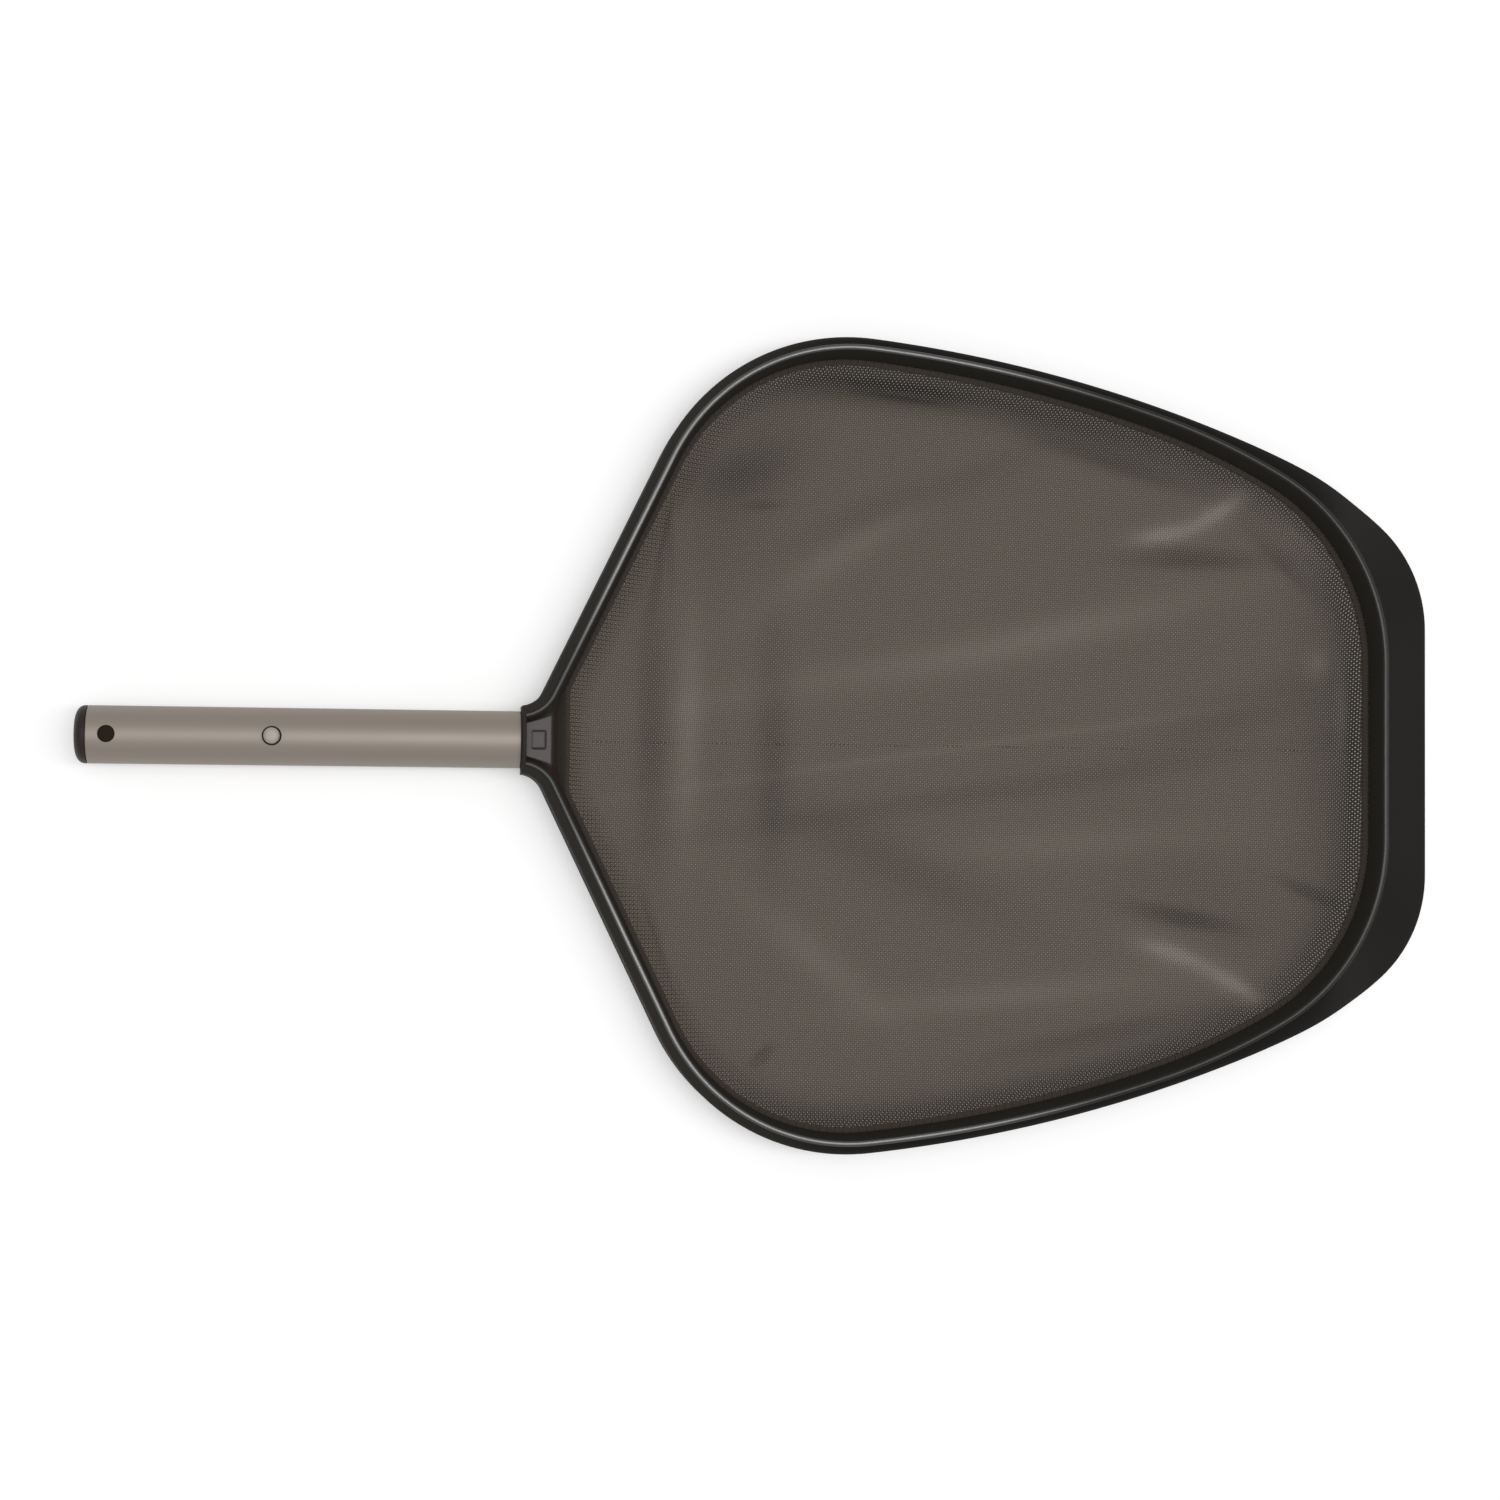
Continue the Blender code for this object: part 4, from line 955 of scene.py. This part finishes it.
def weave_panel(outline):
    """All threads inside a convex outline, as a shape of flat ribbons, their painted shading and their
    total length. Thread k lies at (k + 1/2) pitch across, and its crossings at (j + 1/2) pitch along."""
    points, faces, tones, count, length = [], [], [], 0, 0.0
    for family, turn in enumerate((WEAVE_TURN, WEAVE_TURN + math.pi / 2)):
        u = np.array([math.cos(turn), math.sin(turn)])
        v = np.array([-u[1], u[0]])
        spread = outline @ v
        for k in range(math.floor(spread.min() / PITCH), math.ceil(spread.max() / PITCH)):
            ends = stretch(outline, u, v, (k + 0.5) * PITCH)
            if ends is None or ends[1] - ends[0] < SHORTEST:
                continue
            j = np.arange(math.ceil(ends[0] / PITCH - 0.5), math.floor(ends[1] / PITCH - 0.5) + 1)
            s = np.concatenate([[ends[0]], (j + 0.5) * PITCH, [ends[1]]])
            other = j if family == 0 else -j - 1
            wave = np.where((other + k + family) % 2 == 0, 1.0, -1.0)
            wave = np.concatenate([[0.0], wave, [0.0]])
            line = s[:, None] * u + (k + 0.5) * PITCH * v
            z = tray.read(*line.T, tray.z) + BOB * wave
            tones.append(np.repeat(thread_painted_shading(line, wave), 2))
            edges = [np.column_stack([line + edge * THREAD * v, z]) for edge in (-0.5, 0.5)]
            points.append(np.stack(edges, 1).reshape(-1, 3))
            quads = np.array(grid_faces(len(s), 2))[:, ::-1] + count
            faces += quads.tolist()
            count += len(s) * 2
            length += ends[1] - ends[0]
    return (np.concatenate(points), faces), np.concatenate(tones), length


def clip_side(outline, sign):
    """The part of a convex outline on one side of the X axis. A side from p to q whose ends have
    heights a and b over that axis meets it at p + (q - p) a / (a - b)."""
    y = outline[:, 1] * sign
    nxt = np.roll(outline, -1, 0)
    out = []
    for p, q, a, b in zip(outline, nxt, y, nxt[:, 1] * sign):
        if a >= 0:
            out.append(p)
        if a * b < 0:
            out.append(p + (q - p) * a / (a - b))
    return np.array(out)


def outline_area(outline):
    """Area inside a closed outline: half the sum of x1 y2 - x2 y1 over its sides."""
    nxt = np.roll(outline, -1, 0)
    return abs((outline[:, 0] * nxt[:, 1] - nxt[:, 0] * outline[:, 1]).sum()) / 2


panels = []
for label, sign in (("left", 1), ("right", -1)):
    part_line = clip_side(CLIP, sign)
    shape, painted_shading, thread_length = weave_panel(part_line)
    panel = build(f"net_weave_{label}", shape, WEAVE, 80, outwards=False, marks={"painted_shading": painted_shading})
    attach(panel, "skimmer")
    panels.append((panel, part_line))
    print(f"{label} panel: {thread_length:.1f} m of thread, {len(shape[1]) * 2} triangles, "
          f"{outline_area(part_line) * 1e4:.0f} cm2 in plan")
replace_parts(panels[0][0], "net_bag")

# %% [markdown]
# ## Hem and stitches
#
# The edge of the mesh is turned over a tape, and a thread is whipped round it. The tape is one
# section carried along the mouth's line. The stitches are short arches 4.3 mm apart that start under
# the rim's foot, and each has few faces, because there are hundreds.

# %% The hem and its stitches
HEM_SECTION = np.array([(-3.1, 14.45), (-5.9, 14.4), (-6.3, 14.15), (-6.0, 14.62), (-5.6, 14.72),
                        (-3.1, 14.75)]) * MM  # (n, z) of its corners
STITCH_PITCH = 4.3 * MM
STITCH_RADIUS = 0.22 * MM
STITCH_LEAN = 0.9 * MM
STITCH_ARCH = ((0.0, -3.85, 16.2), (0.3, -4.4, 15.9), (0.6, -5.4, 15.2), (1.0, -6.3, 14.5),
               (1.3, -6.8, 13.7))  # share of the lean, n and z in mm


def tube_along(path, radius, sides=6):
    """A thin round tube with closed ends: path + r (cos a * side + sin a * up), where side is level
    and up is at a right angle to it and to the path."""
    path = np.asarray(path, float)
    tangent = np.gradient(path, axis=0)
    tangent /= np.linalg.norm(tangent, axis=1)[:, None]
    side = np.cross(tangent, (0, 0, 1.0))
    side /= np.maximum(np.linalg.norm(side, axis=1)[:, None], 1e-9)
    up = np.cross(side, tangent)
    turns = 2 * np.pi * np.arange(sides) / sides
    rings = path[:, None] + radius * (np.cos(turns)[None, :, None] * side[:, None]
                                      + np.sin(turns)[None, :, None] * up[:, None])
    return skin(rings)


hem = build("net_hem", skin(stand(mouth, mouth_normals, HEM_SECTION), closed=True), HEM, 60)
hem_line, hem_normals = np.vstack([mouth, mouth[:1]]), np.vstack([mouth_normals, mouth_normals[:1]])
hem_length = np.linalg.norm(np.diff(hem_line, axis=0), axis=1).sum()
stitches = []
stitch_count = int(hem_length / STITCH_PITCH)
for k in range(stitch_count):
    path = []
    for share, n, z in STITCH_ARCH:
        place = (hem_length * k / stitch_count + share * STITCH_LEAN) % hem_length
        at, outwards = along(hem_line, hem_normals, place)
        path.append((*(at + outwards * n * MM), z * MM))
    stitches.append(tube_along(path, STITCH_RADIUS))
whip = build("net_stitches", join(*stitches), STITCH, 60)
for piece in (hem, whip):
    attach(piece, "skimmer")
print(f"{stitch_count} stitches along {hem_length:.3f} m of hem")

# %% [markdown]
# ## The handle
#
# The tube is drawn aluminium with the latch hole, the button holes and the screw holes cut through
# it. It is turned from a profile, and exact Booleans cut the holes, so that they show the wall's
# thickness. Extra rings beside the holes keep the shading of the long faces clean.

# %% The tube
TUBE_START, TUBE_END = PLUG_X + 6 * MM, COLLAR_X - 0.3 * MM
END_ROUND, END_RING = 0.3 * MM, 0.35 * MM  # how far an end is rounded in, and along
BESIDE_HOLE = 7 * MM
LATCH_RADIUS, BUTTON_HOLE, SCREW_HOLE = 4.2 * MM, 4.8 * MM, 1.9 * MM
BELOW_TUBE, ABOVE_TUBE = -1 * MM, 40 * MM

stations = [0.0, END_RING]
for x in (LATCH_X, BUTTON_X, *HANDLE_SCREWS_X):
    stations += [x - BESIDE_HOLE - TUBE_START, x + BESIDE_HOLE - TUBE_START]
stations = sorted(stations + [TUBE_END - TUBE_START - END_RING, TUBE_END - TUBE_START])
outside = [(TUBE_RADIUS - (END_ROUND if k in (0, len(stations) - 1) else 0.0), s)
           for k, s in enumerate(stations)]
inside = [(TUBE_BORE, s) for s in stations[::-1]]
tube = build("handle_tube_finish", turned(outside + inside, (TUBE_START, 0, TUBE_Z), (1, 0, 0), 160),
             TUBE)


def pin(x, radius, low=BELOW_TUBE, high=ABOVE_TUBE, segments=64):
    """An upright round pin at x that a hole is cut with, from one height to another."""
    return build("tool", turned([(0.0, 0.0), (radius, 0.0), (radius, high - low), (0.0, high - low)],
                                (x, 0, low), (0, 0, 1), segments), TUBE)


carve(tube, pin(LATCH_X, LATCH_RADIUS), pin(BUTTON_X, BUTTON_HOLE),
      *(pin(x, SCREW_HOLE, high=TUBE_Z, segments=32) for x in HANDLE_SCREWS_X))
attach(tube, "skimmer")
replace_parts(tube, "handle_tube")
print(f"tube: {(TUBE_END - TUBE_START) / MM:.1f} mm long, {len(tube.data.polygons)} faces")

# %% [markdown]
# The plug closes the tube's end with a rounded cap and a skirt inside the tube. Two bosses on it
# fill the cross hole from within, and show there as flat discs painted dark as the hole's shade.

# %% The plug
CAP_FLAT, CAP_DEEP = 8.0 * MM, 4.6 * MM  # radius of its flat middle, and depth of its round edge
CAP_STEPS = 13
SKIRT = 12.4 * MM
BOSS_IN, BOSS_OUT, BOSS_ROUND = 11.2 * MM, 13.4 * MM, 3.9 * MM  # along its axis, and its radius

cap_profile = [(0.0, 0.0), (CAP_FLAT, 0.0)]
for k in range(1, CAP_STEPS):
    a = math.radians(90 * k / CAP_STEPS)
    cap_profile.append((CAP_FLAT + (TUBE_RADIUS - CAP_FLAT) * math.sin(a), CAP_DEEP * (1 - math.cos(a))))
cap_profile += [(TUBE_RADIUS, CAP_DEEP), (TUBE_RADIUS, 5.5 * MM), (14.1 * MM, 5.7 * MM),
                (SKIRT, 5.7 * MM), (SKIRT, 31.7 * MM), (11.8 * MM, 32.7 * MM), (10.6 * MM, 32.7 * MM),
                (10.6 * MM, 5.7 * MM), (0.0, 4.7 * MM)]
cap = turned(cap_profile, (PLUG_X, 0, TUBE_Z), (1, 0, 0), 128)
boss_profile = [(0.0, BOSS_IN), (BOSS_ROUND, BOSS_IN), (BOSS_ROUND, BOSS_OUT), (0.0, BOSS_OUT)]
bosses = [turned(eased(boss_profile, 0.4 * MM, 4), (LATCH_X, 0, TUBE_Z), (0, 0, side), 64)
          for side in (1, -1)]
boss_faces = len(cap[1]) + np.arange(sum(len(shape[1]) for shape in bosses))
plug = build("end_plug_finish", join(cap, *bosses), PLUG, zones=((BOSS, boss_faces),))
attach(plug, "skimmer")
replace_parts(plug, "end_plug")
print(f"plug: {len(cap[1])} faces, and {len(boss_faces)} on its bosses")

# %% [markdown]
# ## Buttons and spring
#
# Each lock button is a domed pin on a flange, pushed out by a bent strip of stainless steel in the
# tube. The strip is drawn as two legs that meet at the bend, one under each button, and both stay
# with the hoop. In the real handle, when a button goes in by 5.5 mm its leg flattens towards the
# tube's axis, from 9.35 mm to 3.85 mm, which is a share of 0.41.

# %% Buttons
LEG = 9.35 * MM  # height of the strip over the tube's axis
STRIP = 0.9 * MM
DOME_RADIUS, DOME_RISE = 3.9 * MM, 1.7 * MM
DOME_SQUARENESS = 0.55  # 1 would be half an ellipse
DOME_STEPS = 12
STANDS_OUT = 4.6 * MM  # of the tube
RIVET = 1.5 * MM  # radius of the pin's neck through the strip
FLANGE = 5.8 * MM

for name, node, body, side in (("button_upper_dome", "button_upper", "upper_button", 1),
                               ("button_lower_dome", "button_lower", "lower_button", -1)):
    low, high, tip = LEG - STRIP / 2 - 0.3 * MM, LEG + STRIP / 2 + 0.3 * MM, TUBE_RADIUS + STANDS_OUT
    profile = [(0.0, low - 1.0 * MM), (2.2 * MM, low - 0.9 * MM), (2.6 * MM, low - 0.3 * MM),
               (2.6 * MM, low), (RIVET, low), (RIVET, 10.9 * MM), (DOME_RADIUS, 10.9 * MM),
               (DOME_RADIUS, tip - DOME_RISE)]
    for k in range(1, DOME_STEPS):
        a = math.radians(90 * k / DOME_STEPS)
        profile.append((DOME_RADIUS * math.cos(a) ** DOME_SQUARENESS,
                        tip - DOME_RISE + DOME_RISE * math.sin(a)))
    profile.append((0.0, tip))
    button = build(name, turned(profile, (BUTTON_X, 0, TUBE_Z), (0, 0, side), 72), DOME)
    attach(button, body)
    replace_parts(button, node)
    ring_profile = [(1.6 * MM, high), (FLANGE, high), (FLANGE, 11.1 * MM), (3.95 * MM, 11.1 * MM),
                    (3.95 * MM, 10.8 * MM), (1.6 * MM, 10.8 * MM)]
    # The flange, coloured dark as painted shade round the dome.
    seat = build(f"{node}_flange", turned(ring_profile, (BUTTON_X, 0, TUBE_Z), (0, 0, side), 72), FLANGE_SHADE)
    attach(seat, body)
    print(f"{name}: {2 * DOME_RADIUS / MM:.1f} mm across, stands out by {STANDS_OUT / MM:.1f} mm")

# %% Spring
STRIP_HALF = 4.5 * MM  # half its width
STRIP_ENDS = (-6.5 * MM, 8 * MM)  # of its flat part, from the button
BEND_X, BEND_RADIUS = -208 * MM, 3.2 * MM
STRIP_HOLE = 1.9 * MM

for side, joint in ((1, "upper_button_press"), (-1, "lower_button_press")):
    line = [(BUTTON_X + x, LEG) for x in STRIP_ENDS]
    for a in np.radians(np.linspace(90, 0, 10)):
        line.append((BEND_X + BEND_RADIUS * math.cos(a), BEND_RADIUS * math.sin(a)))
    line = np.array(line)
    slope = np.gradient(line, axis=0)
    slope /= np.linalg.norm(slope, axis=1)[:, None]
    normal = np.stack([-slope[:, 1], slope[:, 0]], -1)
    out, back = line + normal * STRIP / 2, line - normal * STRIP / 2
    outline = np.concatenate([out, back[::-1]])
    outline[:, 1] = np.maximum(outline[:, 1], 0.0)
    rows = [(x, -STRIP_HALF, TUBE_Z + side * z) for x, z in outline]
    leg = build(f"spring_leg_{'upper' if side == 1 else 'lower'}",
                prism(rows, (0, 2 * STRIP_HALF, 0)), STEEL)
    mid = TUBE_Z + side * LEG
    carve(leg, pin(BUTTON_X, STRIP_HOLE, mid - 2 * MM, mid + 2 * MM, 32))
    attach(leg, "skimmer")
    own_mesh(leg)
    if side == 1:
        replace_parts(leg, "snap_spring")

# %% [markdown]
# ## Floor, light and surroundings
#
# The floor is plain and pale. A square soft light hangs overhead and a long strip stands beyond the
# lip, whose reflections draw the line along the crest. The surroundings are even, at half of white,
# and white where the camera sees them. The floor glows a little, but only for rays from the camera
# or off a shiny surface, so that it comes near white without lighting the pieces from below.

# %% Floor
FLOOR_HALF = 4.0  # metres
FLOOR_GLOW = 0.28

scene = bpy.context.scene
floor_mat = finish_material("pale_floor", "#e7e7e7", 0.9, gloss=0.1)
tree = floor_mat.node_tree
rays = add_node(tree, "ShaderNodeLightPath")
seen = add_node(tree, "ShaderNodeMath", {0: rays.outputs["Is Camera Ray"],
                                         1: rays.outputs["Is Glossy Ray"]}, operation="MAXIMUM")
seen = add_node(tree, "ShaderNodeMath", {0: seen.outputs[0], 1: rays.outputs["Is Transmission Ray"]},
                operation="MAXIMUM")
glow = add_node(tree, "ShaderNodeMath", {0: seen.outputs[0], 1: FLOOR_GLOW}, operation="MULTIPLY")
shader = tree.nodes["Principled BSDF"]
shader.inputs["Emission Color"].default_value = (1.0, 1.0, 1.0, 1.0)
tree.links.new(glow.outputs[0], shader.inputs["Emission Strength"])
corners = FLOOR_HALF * np.array([(-1, -1, 0), (1, -1, 0), (1, 1, 0), (-1, 1, 0)], float)
floor = build("floor", (corners, [[0, 1, 2, 3]]), floor_mat, outwards=False)
print(f"floor: {2 * FLOOR_HALF:.0f} m square")


# %% Lights and surroundings
def area_light(name, place, aim, size, power, colour=(1.0, 1.0, 1.0)):
    """A rectangular light of a size in metres and a power in watts, turned to look at a point."""
    light = bpy.data.lights.new(name, "AREA")
    light.shape, light.size, light.size_y = "RECTANGLE", size[0], size[1]
    light.energy, light.color = power, colour
    obj = bpy.data.objects.new(name, light)
    obj.location = place
    obj.rotation_euler = (Vector(aim) - Vector(place)).to_track_quat("-Z", "Y").to_euler()
    scene.collection.objects.link(obj)
    return obj


area_light("overhead", (0.0, 0.05, 2.6), (0.0, 0, 0), (1.6, 1.6), 17.0)
area_light("strip", (0.61, 0.0, 2.6), (0.1, 0, 0), (0.40, 3.6), 25.0)
print("lights:", [(light.name, light.energy) for light in bpy.data.lights])

WHITE = (1.0, 1.0, 1.0, 1.0)
world = bpy.data.worlds.new("studio")
scene.world = world
world.use_nodes = True
tree = world.node_tree
tree.nodes.clear()
rays = add_node(tree, "ShaderNodeLightPath")
dim = add_node(tree, "ShaderNodeBackground", {"Color": WHITE, "Strength": 0.50})
white = add_node(tree, "ShaderNodeBackground", {"Color": WHITE, "Strength": 1.0})
choose = add_node(tree, "ShaderNodeMixShader", {0: rays.outputs["Is Camera Ray"],
                                                1: dim.outputs[0], 2: white.outputs[0]})
add_node(tree, "ShaderNodeOutputWorld", {"Surface": choose.outputs[0]})

# %% [markdown]
# ## The camera
#
# The camera stands 1.26 m above the floor, a little towards the handle, and looks down with a lens
# of 59.3 mm. Its place, aim and lens were fitted to the outlines in the photograph. Its own axes are
# built from the line of sight and a small roll.

# %% Camera
EYE = np.array([-187.5, -42.6, 1262.1]) * MM
AIM = np.array([-16.6, -3.6, 17.0]) * MM
ROLL = math.radians(0.472)
LENS, SENSOR = 59.3, 36.0  # mm, as Blender counts them

sight = unit(AIM - EYE)
right = unit(np.cross(sight, (0.0, 1.0, 0.0)))
above = np.cross(right, sight)
right, above = (math.cos(ROLL) * right + math.sin(ROLL) * above,
                -math.sin(ROLL) * right + math.cos(ROLL) * above)
camera_data = bpy.data.cameras.new("portrait")
camera_data.sensor_width = SENSOR
camera_data.lens = LENS
camera_data.clip_start = 0.01
camera = bpy.data.objects.new("portrait", camera_data)
rows = [[right[i], above[i], -sight[i], EYE[i]] for i in range(3)]
camera.matrix_world = Matrix(rows + [[0, 0, 0, 1]])
scene.collection.objects.link(camera)
scene.camera = camera
scene.view_settings.view_transform = "Standard"
print(f"camera: {np.linalg.norm(AIM - EYE):.2f} m from what it looks at")
